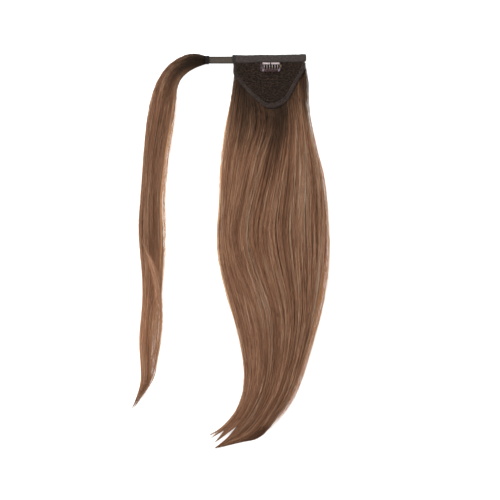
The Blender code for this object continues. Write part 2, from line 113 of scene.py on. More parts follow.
# Main fall of hair: long straight brown hair, dark at the root, and darker still there by painted shade
# under the base. It is combed in flat locks that sweep right, left and right again, and it is sewn to the
# whole underside of the base.
Row = namedtuple("Row", "left_x left_y right_x right_y crest")
HAIR_ROWS = [
    Row(4.5, 238.0, 94.0, 239.5, 3.0),
    Row(1.2, 212.0, 98.4, 214.0, 8.5),
    Row(-3.2, 184.0, 98.8, 186.5, 12.5),
    Row(-8.5, 155.0, 102.8, 159.0, 15.0),
    Row(-12.6, 125.0, 109.5, 130.0, 16.5),
    Row(-14.8, 92.0, 117.5, 98.0, 17.0),
    Row(-15.6, 60.0, 121.5, 66.0, 16.5),
    Row(-17.7, 30.0, 123.8, 34.0, 16.0),
    Row(-17.4, 2.0, 124.3, 0.0, 15.5),
    Row(-12.8, -26.0, 121.5, -35.0, 15.0),
    Row(-5.2, -57.0, 115.8, -68.0, 14.5),
    Row(3.4, -88.0, 107.8, -101.0, 13.5),
    Row(11.0, -119.0, 98.5, -134.0, 12.5),
    Row(15.2, -150.0, 88.0, -167.0, 11.0),
    Row(13.3, -177.5, 75.5, -193.5, 10.0),
    Row(4.5, -202.0, 56.0, -219.0, 8.0),
    Row(-11.0, -221.3, 32.0, -237.8, 6.0),
    Row(-22.4, -228.8, 5.0, -243.0, 4.0),
    Row(-30.0, -233.0, -20.5, -253.4, 2.0),
]
EDGE_HEIGHT = 0.35

# How far the locks wander across, in shares of the width, from the root to the tips, and how far
# those that come out from under the base's left slope are drawn to the middle at first.
SWEEP_AT = [0.00, 0.06, 0.10, 0.14, 0.18, 0.24, 0.31, 0.37, 0.41, 0.46, 0.52, 0.58, 0.66, 0.80, 1.00]
SWEEP = [0.00, 0.02, 0.07, 0.10, 0.08, -0.02, -0.12, -0.18, -0.19, -0.16, -0.09, -0.01, 0.02, 0.00, 0.00]
DRAW_AT = [0.00, 0.05, 0.10, 0.15, 0.22, 1.00]
DRAW_IN = [-0.09, -0.08, -0.02, 0.03, 0.00, 0.00]

# The base's outline, from the band's left end round the lower end to the right. The base leans up from
# the table at its straight edge, and the hair lies this far below it, and may rise on its way out.
BASE_LINE_X = [2.8, 3.4, 8.9, 17.8, 27.6, 37.2, 44.2, 51.5, 60.5, 69.5, 75.3, 81.0, 86.6, 91.4, 93.0]
BASE_LINE_Y = [
    238.6, 224.8, 218.5, 207.6, 197.9, 189.0, 182.6, 181.2, 184.3, 190.1, 198.7, 210.8, 220.5, 230.3, 239.6
]
BESIDE_BASE_Y = 246.0
BASE_Y = 250.0
BASE_Z = 1.75
BASE_LEAN = math.radians(8.0)
HAIR_BELOW = 2.3
WAY_OUT = 0.45
ROOT_Y = 238.0
HAIR_LENGTH = 500.0
CORE_END = 0.905

PARTS_TO_A_ROW = 60


def catmull_rom(before, here, after, beyond, f):
    """The value at f, from 0 at here to 1 at after, on a smooth curve through four values."""
    slope_in, slope_out = (after - before) / 2, (beyond - here) / 2
    rise = after - here
    bend = 3 * rise - 2 * slope_in - slope_out
    return here + f * (slope_in + f * (bend + f * (slope_in + slope_out - 2 * rise)))


def smooth_rows(rows):
    """Reads a table of rows as a smooth course from 0 to 1."""
    last = len(rows) - 1

    @lru_cache(maxsize=None)
    def part(step):
        i = min(step // PARTS_TO_A_ROW, last - 1)
        near = [rows[max(0, min(last, i + k))] for k in (-1, 0, 1, 2)]
        return Row(*(catmull_rom(*values, step / PARTS_TO_A_ROW - i) for values in zip(*near)))

    return lambda t: part(round(max(0.0, min(1.0, t)) * last * PARTS_TO_A_ROW))


hair_at = smooth_rows(HAIR_ROWS)


def bow(u):
    return max(0.0, 1 - abs(2 * u - 1) ** 2.6) ** 0.6


def across(row, u, z):
    x = row.left_x + (row.right_x - row.left_x) * u
    return Vector((x, row.left_y + (row.right_y - row.left_y) * u, z))


def ease(low, high, value):
    share = max(0.0, min(1.0, (value - low) / (high - low)))
    return share * share * (3 - 2 * share)


def under_base(x, y):
    """How high hair may lie here, below the base and on its way out from under it."""
    edge_y = float(np.interp(x, BASE_LINE_X, BASE_LINE_Y, left=BESIDE_BASE_Y, right=BESIDE_BASE_Y))
    inner_y = max(y, edge_y)
    return BASE_Z + (BASE_Y - inner_y) * math.tan(BASE_LEAN) - HAIR_BELOW + WAY_OUT * (inner_y - y)


def inside_fringe(u, t):
    """The same share of the width within the fringe of loose hair that runs down both edges."""
    row = hair_at(t)
    width = row.right_x - row.left_x
    full = 1 - ease(0.80, 0.88, t)
    left, right = 1.4 * full, (1.2 + 3.4 * ease(0.0, 0.08, t) + 1.2 * ease(0.4, 0.55, t)) * full
    return (left + u * (width - left - right)) / width


def hair_surface(u, t, depth=0.0):
    """The point on the hair's upper side within its fringe, or this far down in it."""
    return hair_outside(inside_fringe(u, t), t, depth)


def crest_height(row, u):
    """How high the hair stands here. It falls off to low edges, and is no higher outside them."""
    edge = EDGE_HEIGHT * row.crest
    return edge + (row.crest - edge) * bow(u)


def hair_outside(u, t, depth=0.0):
    """The point on the hair's whole upper side, fringe and all, or this far down in it."""
    row = hair_at(t)
    place = across(row, u, max(0.4, crest_height(row, u) - depth))
    place.z = max(0.35, min(place.z, under_base(place.x, place.y) - depth * 0.4))
    return place


def eased_course(at, values):
    """A table's values from 0 to 1 as a course without corners."""
    fine = np.interp(np.linspace(-0.1, 1.1, 241), at, values)
    return np.convolve(fine, np.hanning(17) / np.hanning(17).sum(), "same")[20:221]


sweep_course = eased_course(SWEEP_AT, SWEEP)
draw_course = eased_course(DRAW_AT, DRAW_IN)


def read_course(course, t):
    return float(np.interp(t * 200, np.arange(201), course))


def hair_sweep(u, t):
    inner = math.sin(math.pi * max(0.0, min(1.0, u)))
    draw = math.exp(-((u - 0.34) / 0.13) ** 2)
    return read_course(sweep_course, t) * inner + read_course(draw_course, t) * draw


# Fair and dark places in the hair, a few of them painted light and shade: where each lies and how far
# it reaches, in millimetres, and how much fairer or darker the strands are there.
Patch = namedtuple("Patch", "x y reach_x reach_y fairer")
PATCHES = [
    Patch(89.0, 62.0, 11.0, 95.0, 0.14),
    Patch(27.0, 45.0, 12.0, 55.0, 0.08),
    Patch(43.0, -62.0, 16.0, 42.0, 0.12),
    Patch(57.0, 135.0, 8.0, 34.0, -0.12),
    Patch(106.0, 95.0, 5.0, 40.0, -0.06),
    Patch(-9.0, 122.0, 7.0, 26.0, -0.06),
    # Painted shadow of the base's left edge on the hair below it.
    Patch(12.0, 200.0, 9.0, 18.0, -0.12),
    # Painted light: the tips of the hair and of the wrapping strand are made fairer, where their crowded
    # strands shade each other.
    Patch(-18.0, -238.0, 14.0, 12.0, 0.22),
    Patch(-120.0, -192.0, 10.0, 24.0, 0.16),
]


def tone_at(place):
    """How much fairer the hair is here. Slow patches break up the locks' even tone, and some paint light and
    shade.
    """
    fairer = 0.09 * noise.noise((place.x * 0.13, place.y * 0.035, 7.0))
    for patch in PATCHES:
        away = ((place.x - patch.x) / patch.reach_x) ** 2 + ((place.y - patch.y) / patch.reach_y) ** 2
        if away < 6:
            fairer += patch.fairer * math.exp(-away)
    return fairer


# A strand holds its points and their half widths in millimetres. Its tone runs from dark to fair, and
# shade is where each end of it lies between the dark root and the tips.
Strand = namedtuple("Strand", "places halves tone shades")
TONES = 128
STRAND_STEPS = 23
TIP = 0.12
strand_side = bpy.data.curves.new("strand_side", "CURVE")
strand_side.dimensions = "2D"
outline = strand_side.splines.new("POLY")
outline.points.add(2)
for k, point in enumerate(outline.points):
    point.co = (MM * math.cos(math.tau * k / 3), MM * math.sin(math.tau * k / 3), 0, 1)
outline.use_cyclic_u = True
strand_shape = bpy.data.objects.new("strand_side", strand_side)
scene.collection.objects.link(strand_shape)


def add_line(curve, places, halves):
    """Adds a line of points in millimetres to a curve, and how thick it is at each of them."""
    spline = curve.splines.new("POLY")
    spline.points.add(len(places) - 1)
    spline.points.foreach_set("co", [c for p in places for c in (p.x * MM, p.y * MM, p.z * MM, 1.0)])
    spline.points.foreach_set("radius", halves)


def skin(name, curve, mend):
    """The curve's skin as a smooth mesh without UVs, once it is mended."""
    drawn = bpy.data.objects.new(name, curve)
    scene.collection.objects.link(drawn)
    mesh = bpy.data.meshes.new_from_object(drawn.evaluated_get(bpy.context.evaluated_depsgraph_get()))
    bpy.data.objects.remove(drawn)
    for layer in list(mesh.uv_layers):
        mesh.uv_layers.remove(layer)
    bm = bmesh.new()
    bm.from_mesh(mesh)
    mend(bm)
    bm.to_mesh(mesh)
    bm.free()
    mesh.polygons.foreach_set("use_smooth", [True] * len(mesh.polygons))
    return mesh


def shut_ends(bm):
    bmesh.ops.holes_fill(bm, edges=[edge for edge in bm.edges if edge.is_boundary], sides=0)


def new_piece(name, mesh):
    piece = bpy.data.objects.new(name, mesh)
    scene.collection.objects.link(piece)
    return piece


def lay_strands(name, strands):
    """One piece of many strands, each a thin tapered tube, with its tone and shade as UVs."""
    curve = bpy.data.curves.new(name, "CURVE")
    curve.dimensions = "3D"
    curve.bevel_mode = "OBJECT"
    curve.bevel_object = strand_shape
    uvs = []
    for strand in strands:
        add_line(curve, strand.places, strand.halves)
        root, tip = strand.shades
        for k, place in enumerate(strand.places):
            tone = max(0.02, min(0.98, strand.tone + tone_at(place)))
            column = min(TONES - 1, int(tone * TONES))
            v = max(0.002, min(0.998, root + (tip - root) * (k / (len(strand.places) - 1))))
            uvs += [((column + 0.5 + side * 0.35) / TONES, v) for side in (-1, 0, 1)]
    mesh = skin(name, curve, shut_ends)
    corners = np.empty(len(mesh.loops), np.int32)
    mesh.loops.foreach_get("vertex_index", corners)
    mesh.uv_layers.new(name="OFBake").data.foreach_set("uv", np.array(uvs, np.float32)[corners].ravel())
    return new_piece(name, mesh)


class Shade:
    """A value in a material, on which sums are written as usual."""

    def __init__(self, finish, socket):
        self.finish, self.socket = finish, socket

    def maths(self, operation, *others):
        return self.finish.node("Math", {"operation": operation}, dict(enumerate((self, *others))))

    def __add__(self, other):
        return self.maths("ADD", other)

    def __sub__(self, other):
        return self.maths("SUBTRACT", other)

    def __mul__(self, other):
        return self.maths("MULTIPLY", other)

    def __truediv__(self, other):
        return self.maths("DIVIDE", other)


def srgb(*colour):
    """A colour as a screen shows it, from 0 to 255, for a shader."""
    shares = [part / 255 for part in colour]
    return (*(c / 12.92 if c <= 0.04045 else ((c + 0.055) / 1.055) ** 2.4 for c in shares), 1.0)


class Finish:
    """A material with one shader, to which nodes are added by their type, settings and inputs."""

    def __init__(self, name, **values):
        self.material = bpy.data.materials.new(name)
        self.material.use_nodes = True
        self.tree = self.material.node_tree
        self.shader = self.tree.nodes["Principled BSDF"]
        for socket, value in values.items():
            self.shader.inputs[socket.replace("_", " ")].default_value = value

    def node(self, kind, settings=None, inputs=None, output=0):
        made = self.tree.nodes.new("ShaderNode" + kind)
        for key, value in (settings or {}).items():
            setattr(made, key, value)
        for key, value in (inputs or {}).items():
            if isinstance(value, Shade):
                self.tree.links.new(value.socket, made.inputs[key])
            else:
                made.inputs[key].default_value = value
        return Shade(self, made.outputs[output])

    def ramp(self, value, stops):
        """A colour that follows the value, by stops that each hold a value, red, green and blue."""
        made = self.node("ValToRGB", None, {0: value})
        elements = made.socket.node.color_ramp.elements
        for position, *_ in stops[len(elements):]:
            elements.new(position)
        for element, (position, *colour) in zip(elements, stops):
            element.position, element.color = position, srgb(*colour)
        return made

    def bump(self, strength, distance, height):
        return self.node("Bump", None, {"Strength": strength, "Distance": distance, "Height": height})

    def parts(self, vector):
        made = self.node("SeparateXYZ", None, {0: vector}).socket.node
        return [Shade(self, socket) for socket in made.outputs]

    def flow(self, uv_map):
        """The two values of a UV map."""
        return self.parts(self.node("UVMap", {"uv_map": uv_map}))[:2]

    def mix(self, factor, first, second, way="MIX"):
        settings = {"data_type": "RGBA", "blend_type": way}
        return self.node("Mix", settings, {0: factor, 6: first, 7: second}, 2)

    def feed(self, **shades):
        for socket, shade in shades.items():
            self.tree.links.new(shade.socket, self.shader.inputs[socket.replace("_", " ")])
        return self.material


# The dark root fades along a strand; part of its dark is painted shade under the base. The tips are
# painted paler, as painted light where the crowded strands would shade each other. Each strand has its
# own tone. Light comes through the thin hair at the edges, so it is paler.
ROOT_STOPS = [
    (0.00, 62, 59, 56),
    (0.05, 90, 86, 82),
    (0.10, 123, 118, 113),
    (0.15, 168, 164, 160),
    (0.19, 202, 199, 197),
    (0.26, 210, 209, 209),
    (0.86, 208, 205, 205),
    (0.93, 222, 217, 214),
    (1.00, 255, 250, 246),
]
THIN_STOPS = [
    (0.00, 70, 66, 62),
    (0.10, 140, 132, 124),
    (0.20, 240, 218, 194),
    (1.00, 255, 234, 208),
]
TONE_STOPS = [
    (0.00, 122, 85, 63),
    (0.30, 180, 129, 98),
    (0.50, 216, 159, 122),
    (0.75, 247, 197, 158),
    (1.00, 255, 236, 210),
]


def hair_finish(name, root_stops, shine=0.28):
    finish = Finish(name, Roughness=0.46, Specular_IOR_Level=shine, Specular_Tint=(1.0, 0.8, 0.62, 1.0))
    tone, along = finish.flow("OFBake")
    place = finish.node("CombineXYZ", None, {0: tone * 60, 1: along * 30})
    look = {"Vector": place, "Scale": 1.0, "Detail": 2.0}
    # Uneven tone along the strands, partly painted glints of the shine.
    patch = finish.node("TexNoise", {"noise_dimensions": "2D"}, look)
    streak = finish.mix(patch, srgb(168, 168, 173), srgb(255, 253, 250))
    body = finish.mix(1.0, finish.ramp(tone, TONE_STOPS), finish.ramp(along, root_stops), "MULTIPLY")
    return finish.feed(Base_Color=finish.mix(1.0, body, streak, "MULTIPLY"))


hair_material = hair_finish("brown_hair", ROOT_STOPS)
thin_hair_material = hair_finish("brown_hair_thin", THIN_STOPS, 0.1)

# By place across, from left to right: how much longer the dark of the root runs on, which is partly
# painted shade under the base, and how fair the hair is. The fairer edges are painted light, where light
# comes through the thin hair.
LAG_AT = [0.00, 0.05, 0.17, 0.30, 0.45, 0.60, 0.68, 0.78, 0.88, 0.94, 1.00]
LAG = [0.00, 0.01, 0.070, 0.06, 0.105, 0.13, 0.06, -0.02, -0.05, 0.00, 0.00]
TONE_AT = [0.00, 0.02, 0.05, 0.12, 0.30, 0.60, 0.70, 0.80, 0.92, 0.96, 0.98, 1.00]
TONE = [0.78, 0.62, 0.49, 0.42, 0.43, 0.42, 0.43, 0.47, 0.49, 0.52, 0.64, 0.80]


def root_lag(u):
    return float(np.interp(u, LAG_AT, LAG))


def usual_tone(u):
    return float(np.interp(u, TONE_AT, TONE))


def long_strand(chance, start, end, half, place, root=0.7, steps=STRAND_STEPS):
    """The points and half widths of a tapered strand. Place gives the point at each station, and these
    are unevenly spaced, so that neighbours don't bend in step."""
    shift = chance.uniform(-0.45, 0.45)
    times = [start + (end - start) * (k + shift) / (steps - 1) for k in range(1, steps - 1)]
    times = [start, *times, end]
    halves = []
    for t in times:
        share = (t - start) / (end - start)
        halves.append(half * min(root + share * 6, 1.0) * (TIP + (1 - TIP) * min(1.0, (1 - share) * 5.0)))
    return [place(t) for t in times], halves


def short_strand(steps, start, length, half, swell, thin, place):
    """The points and half widths of a short strand. Place gives the point for each share and station.
    Swell and thin hold how thick it is at its root and its tip, and how fast it grows from there."""
    places, halves = [], []
    for k in range(steps):
        share = k / (steps - 1)
        places.append(place(share, start + length * share))
        root, tip = min(1.0, swell[0] + share * swell[1]), min(1.0, thin[0] + (1 - share) * thin[1])
        halves.append(half * root * tip)
    return places, halves


def near(chance, value, spread):
    return max(0.02, min(0.98, chance.gauss(value, spread)))


# The tails that the hair parts into at its tips: up to which share of the width it draws its locks,
# where it lies itself, how loose it stays, where it starts to part and where it ends.
Tail = namedtuple("Tail", "upto middle loose parts end")
TAILS = [
    Tail(0.05, 0.04, 0.90, 0.90, 1.000),
    Tail(0.12, 0.30, 0.35, 0.90, 1.000),
    Tail(0.28, 0.66, 0.26, 0.89, 0.992),
    Tail(2.00, 0.90, 0.18, 0.87, 1.000),
]


def tail_of(middle):
    return next(tail for tail in TAILS if middle < tail.upto)


def tip_draw(u, t, middle):
    """At the tips the hair parts into thin tails, and each lock goes to its own."""
    tail = tail_of(middle)
    return u + (tail.middle - u) * (1 - tail.loose) * ease(tail.parts, 1.0, t)


def tip_end(chance, u):
    """Where a lock ends: those on the right stop short, along the lower edge."""
    early = 0.06 * ease(0.62, 1.0, u)
    return tail_of(u).end - abs(chance.gauss(0, 0.015)) - early * chance.random()


def evenly(chance, make, count):
    """This many strands from one edge to the other. They lie closer together at the edges."""
    strands = []
    for k in range(count):
        strands.append(make(chance, 0.5 - 0.49 * math.cos(math.pi * (k + chance.random()) / count)))
    return strands


def cover_strand(chance, u):
    """One strand of the even cover of the upper side and both flanks, under the locks."""
    start, end = chance.uniform(0.0, 0.03), tip_end(chance, u) - chance.uniform(0.0, 0.05)
    phase, sway = chance.uniform(0, math.tau), chance.gauss(0, 0.007)
    gain, depth, half = chance.uniform(0.85, 1.1), chance.uniform(0.4, 1.6), chance.uniform(0.24, 0.34)

    def place(t):
        here = u + gain * hair_sweep(u, t) + sway * math.sin(phase + t * 13)
        return hair_surface(tip_draw(here, t, u), t, depth + 0.5 * math.sin(phase * 5 + t * 21))

    line = long_strand(chance, start, end, half, place)
    return Strand(*line, near(chance, usual_tone(u) - 0.1, 0.13), (start - root_lag(u), end))


def flank_height(row, u):
    """How high the underside of the hair is here: it rises from the table to both edges."""
    return EDGE_HEIGHT * row.crest * (1 - 0.92 * bow(u) ** 0.5)


def side_strand(chance, u):
    """A strand on a flank or along the underside, which lies on the table."""
    start, end = chance.uniform(0.0, 0.02), tip_end(chance, u) - chance.uniform(0.0, 0.04)
    lift, half = chance.random() ** 2, chance.uniform(0.28, 0.38)

    def place(t):
        row = hair_at(t)
        here = inside_fringe(tip_draw(u + hair_sweep(u, t) * 0.6, t, u), t)
        near_edge = 1 - min(1.0, 8 * min(here, 1 - here))
        rise = lift * near_edge * (EDGE_HEIGHT * row.crest) * 1.1
        spot = across(row, here, 0)
        spot.z = max(0.35, min(flank_height(row, here) + rise, under_base(spot.x, spot.y)))
        return spot

    line = long_strand(chance, start, end, half, place)
    return Strand(*line, near(chance, usual_tone(u), 0.14), (start - root_lag(u), end))


# A lock: its middle and half width across, its height in millimetres, its tone, where it ends, how
# much of the sweep it takes, and where its own slow bends start.
Lock = namedtuple("Lock", "middle half high tone end gain phase")


def lock_strands(chance, lock, wisps, each, lag):
    """The strands of one lock. They keep together in wisps of one tone, which rise and dip among the
    others, and gather to a point."""
    strands = []
    for _ in range(wisps):
        reach, turn = math.sqrt(chance.random()), chance.uniform(0, math.tau)
        wisp_side, wisp_rise = reach * math.cos(turn), reach * math.sin(turn)
        wisp_tone = near(chance, lock.tone, 0.13)
        wisp_end = lock.end - abs(chance.gauss(0, 0.008))
        phase, curl, dip = chance.uniform(0, math.tau), chance.gauss(0, 0.006), chance.uniform(0.3, 1.0)
        for _ in range(each):
            side = wisp_side * lock.half + chance.gauss(0, 0.0035)
            rise = wisp_rise + chance.uniform(-0.2, 0.2)
            start, end = chance.uniform(0.0, 0.03), wisp_end - abs(chance.gauss(0, 0.010))
            half, own = chance.uniform(0.19, 0.29), chance.uniform(0, math.tau)
            stray = chance.gauss(0, 0.0030)

            def place(t):
                gather = 1 - 0.3 * ease(0.80, 1.0, t / lock.end)
                swell = 1 + 0.3 * math.sin(lock.phase * 3 + t * 11)
                middle = lock.middle + 0.012 * math.sin(lock.phase + t * 8)
                here = middle + lock.gain * hair_sweep(middle, t) + side * gather * swell
                here += curl * math.sin(phase + t * 12) + stray * math.sin(own + t * 36)
                here = max(-0.01, min(1.01, tip_draw(here, t, lock.middle)))
                high = lock.high * (rise * gather + 0.4) + dip * math.sin(phase * 3 + t * 22) * gather
                return hair_surface(here, t, 0.5 - high - 0.4 * math.sin(own * 3 + t * 38))

            line = long_strand(chance, start, end, half, place)
            strands.append(Strand(*line, near(chance, wisp_tone, 0.10), (start - lag, end)))
    return strands


def hair_locks(chance, count, wisps, each):
    """The locks that lie on top, some fair and some dark, side by side across the hair."""
    strands = []
    for k in range(count):
        u = 0.012 + 0.976 * (k + chance.uniform(0.2, 0.8)) / count
        tone = near(chance, usual_tone(u) + 0.14 * noise.noise((u * 13, 0.5, 0.5)), 0.04)
        high = chance.uniform(0.6, 1.8) * (0.4 + 0.6 * bow(u))
        lock = Lock(u, chance.uniform(0.008, 0.022), high, tone, tip_end(chance, u),
                    chance.uniform(0.85, 1.15), chance.uniform(0, math.tau))
        strands += lock_strands(chance, lock, wisps, each, root_lag(u) + chance.uniform(-0.025, 0.025))
    return strands


def painted_shade_strand(chance):
    """A hair painted dark, of those at the lower right where the locks turn over towards the tips: painted
    shade.
    """
    u, start, end = chance.gauss(0.87, 0.05), chance.uniform(0.81, 0.88), chance.uniform(0.89, 0.945)
    drift, half = chance.uniform(-0.09, -0.03), chance.uniform(0.2, 0.3)

    def place(share, t):
        return hair_surface(min(0.98, u + drift * share), t, -1.5 + 2.6 * abs(2 * share - 1) ** 2)

    line = short_strand(12, start, end - start, half, (0.15, 3), (0.15, 3), place)
    return Strand(*line, chance.uniform(0.0, 0.35), (0.15, 0.18))


def base_shadow_strand(chance):
    """A short hair painted dark, that comes out close under the base's edge: painted shadow of the base."""
    x = chance.uniform(6.0, 84.0)
    line_y = float(np.interp(x, BASE_LINE_X, BASE_LINE_Y))
    start = (ROOT_Y - line_y) / HAIR_LENGTH - 0.004
    length = chance.uniform(0.03, 0.09) * (1.2 if x < 50 else 0.7)
    row = hair_at(start)
    u = (x - row.left_x) / (row.right_x - row.left_x) - hair_sweep(0.5, start) * 0.5
    half = chance.uniform(0.2, 0.28)

    def place(share, t):
        return hair_surface(u + hair_sweep(u, t), t, 0.1 - 0.4 * chance.random())

    line = short_strand(10, start, length, half, (0.3, 4), (0.1, 2), place)
    return Strand(*line, chance.uniform(0.0, 0.25), (0.0, 0.04))


def flyaway(chance, surface, sides, spans, reach):
    """A fine fair hair that strays out past an edge, where light comes through it."""
    side = chance.choice(sides)
    start = chance.uniform(*spans)
    end = min(0.995, start + chance.uniform(0.2, 0.55))
    out = abs(chance.gauss(0, reach))
    bend, half = chance.uniform(0.6, 1.4), chance.uniform(0.10, 0.16)

    def place(share, t):
        stray = 0.012 - out * math.sin(math.pi * min(1.0, share * 0.9)) ** bend
        return surface(stray if side == 0 else 1 - stray, t, 0.5)

    line = short_strand(16, start, end - start, half, (0.4, 4), (0.2, 4), place)
    return Strand(*line, chance.uniform(0.85, 1.0), (start + 0.15, end))


def fringe_strand(chance, right):
    """A loose strand of the fringe down an edge. There are fewer and fewer towards the outside."""
    reach, low = (7.4, 0.85) if right else (2.8, 0.97)
    inset = reach * chance.random() ** 0.42
    start = max(0.0, chance.uniform(-0.25, 0.72))
    end = min(low, start + chance.uniform(0.25, 0.6))
    phase, own, half = chance.uniform(0, math.tau), chance.uniform(0, math.tau), chance.uniform(0.07, 0.12)

    def place(share, t):
        row = hair_at(t)
        sway = 0.5 * math.sin(phase + t * 9) + 0.2 * math.sin(own + t * 23)
        away = (inset * min(1.0, 0.35 + t * 5) + sway) / (row.right_x - row.left_x)
        return hair_outside(1 - away if right else away, t, 0.4 + 4.0 * math.sin(own) ** 2)

    line = short_strand(18, start, end - start, half, (0.3, 5), (0.15, 4), place)
    return Strand(*line, chance.uniform(0.55, 0.9), (start, end))


def draw_along(name, sides, steps, place):
    """A closed solid: a sheet rolled into a tube, with its ends shut. Place gives the point for each
    share along and round it, which are also its UVs."""
    bm = bmesh.new()
    bmesh.ops.create_grid(bm, x_segments=sides, y_segments=steps, size=0.5)
    layer = bm.loops.layers.uv.new("flow")
    for face in bm.faces:
        face.smooth = True
        for corner in face.loops:
            corner[layer].uv = (corner.vert.co.x + 0.5, corner.vert.co.y + 0.5)
    for vert in bm.verts:
        vert.co = place(vert.co.y + 0.5, vert.co.x + 0.5) * MM
    bmesh.ops.remove_doubles(bm, verts=bm.verts, dist=1e-7)
    bmesh.ops.holes_fill(bm, edges=bm.edges, sides=0)
    bmesh.ops.recalc_face_normals(bm, faces=bm.faces)
    mesh = bpy.data.meshes.new(name)
    bm.to_mesh(mesh)
    bm.free()
    return new_piece(name, mesh)


def boxy(turn, flat_power, thick_power):
    """The rim of a section with full corners: how far across and how far up it is at this turn."""
    flat, thick = math.cos(turn), math.sin(turn)
    return math.copysign(abs(flat) ** flat_power, flat), math.copysign(abs(thick) ** thick_power, thick)


def hair_core(along, round_share):
    """The body of hair under the strands, just inside them."""
    t = along * CORE_END
    row = hair_at(t)
    width = 0.47 - 0.27 * ease(0.80, CORE_END, t)
    flat, rise = boxy(math.tau * round_share, 0.8, 1.0)
    u = 0.5 + width * flat
    here = inside_fringe(u + hair_sweep(u, t) * 0.5 + 0.06 * ease(0.82, CORE_END, t), t)
    if rise > 0:
        return hair_outside(here, t, 1.6 + 0.05 * row.crest)
    edge = EDGE_HEIGHT * row.crest
    spot = across(row, here, max(0.6, edge * (1 - 0.9 * bow(here) ** 0.5) + 0.4))
    spot.z = min(spot.z, max(0.5, under_base(spot.x, spot.y) - 0.8))
    return spot


def core_finish(name):
    finish = Finish(name, Roughness=0.55, Specular_IOR_Level=0.2)
    tone, along = finish.flow("flow")
    place = finish.node("CombineXYZ", None, {0: tone * 140, 1: along * 5})
    look = {"Vector": place, "Scale": 1.0, "Detail": 4.0, "Roughness": 0.7}
    streak = finish.node("TexNoise", {"noise_dimensions": "2D"}, look)
    body = finish.ramp(streak, [(0.3, 70, 48, 34), (0.7, 118, 84, 62)])
    # The dark root, partly painted shade under the base.
    root = finish.ramp(along * 1.05 - 0.09, ROOT_STOPS)
    colour = finish.mix(1.0, body, root, "MULTIPLY")
    return finish.feed(Base_Color=colour, Normal=finish.bump(0.6, 0.0006, streak))


def wear(piece, material, body, slot, *replaced):
    """Gives a piece its material, the body it rides on and the node it replaces. Slot, the finish it names,
    is not used.
    """
    piece.data.materials.clear()
    piece.data.materials.append(material)
    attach(piece, body)
    if replaced:
        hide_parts(*replaced)


LOCKS = 56
WISPS_TO_A_LOCK = 9
HAIRS_TO_A_WISP = 5
chance = random.Random(20)
hair_body = draw_along("hair_body", 48, 90, hair_core)
wear(hair_body, core_finish("hair_under_locks"), "hairpiece", "hair", "ponytail_hair")
upper = hair_locks(chance, LOCKS, WISPS_TO_A_LOCK, HAIRS_TO_A_WISP)
third = len(upper) // 3
groups = {
    "hair_locks_left": upper[:third],
    "hair_locks_middle": upper[third:2 * third],
    "hair_locks_right": upper[2 * third:],
    "hair_cover": evenly(chance, cover_strand, 880),
    "hair_underside": evenly(chance, side_strand, 480),
    "hair_fringe": [fringe_strand(chance, k % 6 != 0) for k in range(360)],
    "hair_flyaways": [flyaway(chance, hair_outside, (0, 0, 1), (0.05, 0.45), 0.012) for _ in range(80)],
    "hair_painted_shade_lock": [painted_shade_strand(chance) for _ in range(110)],
    "hair_painted_base_shadow": [base_shadow_strand(chance) for _ in range(420)],
}
for name, strands in groups.items():
    look = thin_hair_material if name in ("hair_fringe", "hair_flyaways") else hair_material
    wear(lay_strands(name, strands), look, "hairpiece", "hair", "ponytail_hair")


# Wrapping strand: one long lock that is wound round the finished ponytail. It leaves the collar,
# bends down, and turns over once below its middle, where a thin lock leaves its inner edge.
WRAP_ROWS = [
    Row(-31.5, 247.8, -31.5, 238.0, 5.6),
    Row(-44.0, 250.9, -42.0, 234.6, 6.2),
    Row(-57.0, 249.8, -52.0, 229.8, 6.8),
    Row(-70.0, 243.8, -60.8, 223.2, 7.0),
    Row(-82.0, 234.2, -66.8, 214.5, 7.0),
    Row(-92.0, 220.0, -69.4, 203.0, 7.0),
    Row(-98.8, 203.5, -70.6, 191.0, 7.0),
    Row(-103.6, 186.0, -71.4, 177.0, 7.0),
    Row(-107.6, 161.0, -74.6, 156.5, 7.0),
    Row(-110.5, 129.0, -79.6, 127.0, 7.0),
    Row(-112.6, 97.0, -83.6, 96.0, 7.0),
    Row(-115.0, 65.0, -86.4, 65.0, 7.0),
    Row(-116.8, 37.0, -85.6, 37.0, 7.0),
    Row(-116.0, 8.0, -85.4, 8.0, 7.0),
    Row(-113.3, -23.0, -87.0, -23.0, 6.6),
    Row(-112.4, -55.0, -89.2, -55.0, 6.4),
    Row(-114.3, -84.0, -88.0, -84.0, 6.0),
    Row(-116.2, -112.0, -90.4, -112.0, 5.6),
    Row(-114.8, -138.0, -94.6, -136.0, 5.0),
    Row(-114.4, -160.0, -98.4, -158.0, 4.0),
    Row(-117.4, -177.0, -107.4, -174.5, 3.0),
    Row(-127.4, -200.5, -124.4, -199.5, 1.4),
]
wrap_at = smooth_rows(WRAP_ROWS)
WRAP_ROOT_STOPS = [
    (0.00, 50, 47, 45),
    (0.05, 84, 80, 76),
    (0.10, 124, 119, 115),
    (0.15, 160, 156, 152),
    (0.22, 189, 186, 184),
    (0.58, 194, 191, 190),
    (0.74, 240, 237, 236),
    (0.90, 244, 241, 240),
    (1.00, 250, 246, 243),
]
wrap_material = hair_finish("brown_hair_wrap", WRAP_ROOT_STOPS)
SPLIT_FROM = 0.735
SPLIT_TO = 0.915

# By place across, how fair the strand is and how much longer the dark of its root runs on, which is
# longest inside the bend. By place along, how many millimetres of loose hair lie at its inner edge.
WRAP_TONE = ([0.0, 0.05, 0.16, 0.72, 0.90, 1.0], [0.72, 0.5, 0.40, 0.42, 0.62, 0.80])
WRAP_LAG = ([0.0, 0.1, 0.35, 0.62, 0.85, 1.0], [-0.03, 0.0, 0.06, 0.12, 0.02, -0.03])
WRAP_LOOSE = ([0.0, 0.28, 0.36, 0.42, 0.48, 0.57, 0.65, 0.72], [0.3, 0.6, 1.6, 3.6, 4.0, 2.0, 1.0, 0.4])


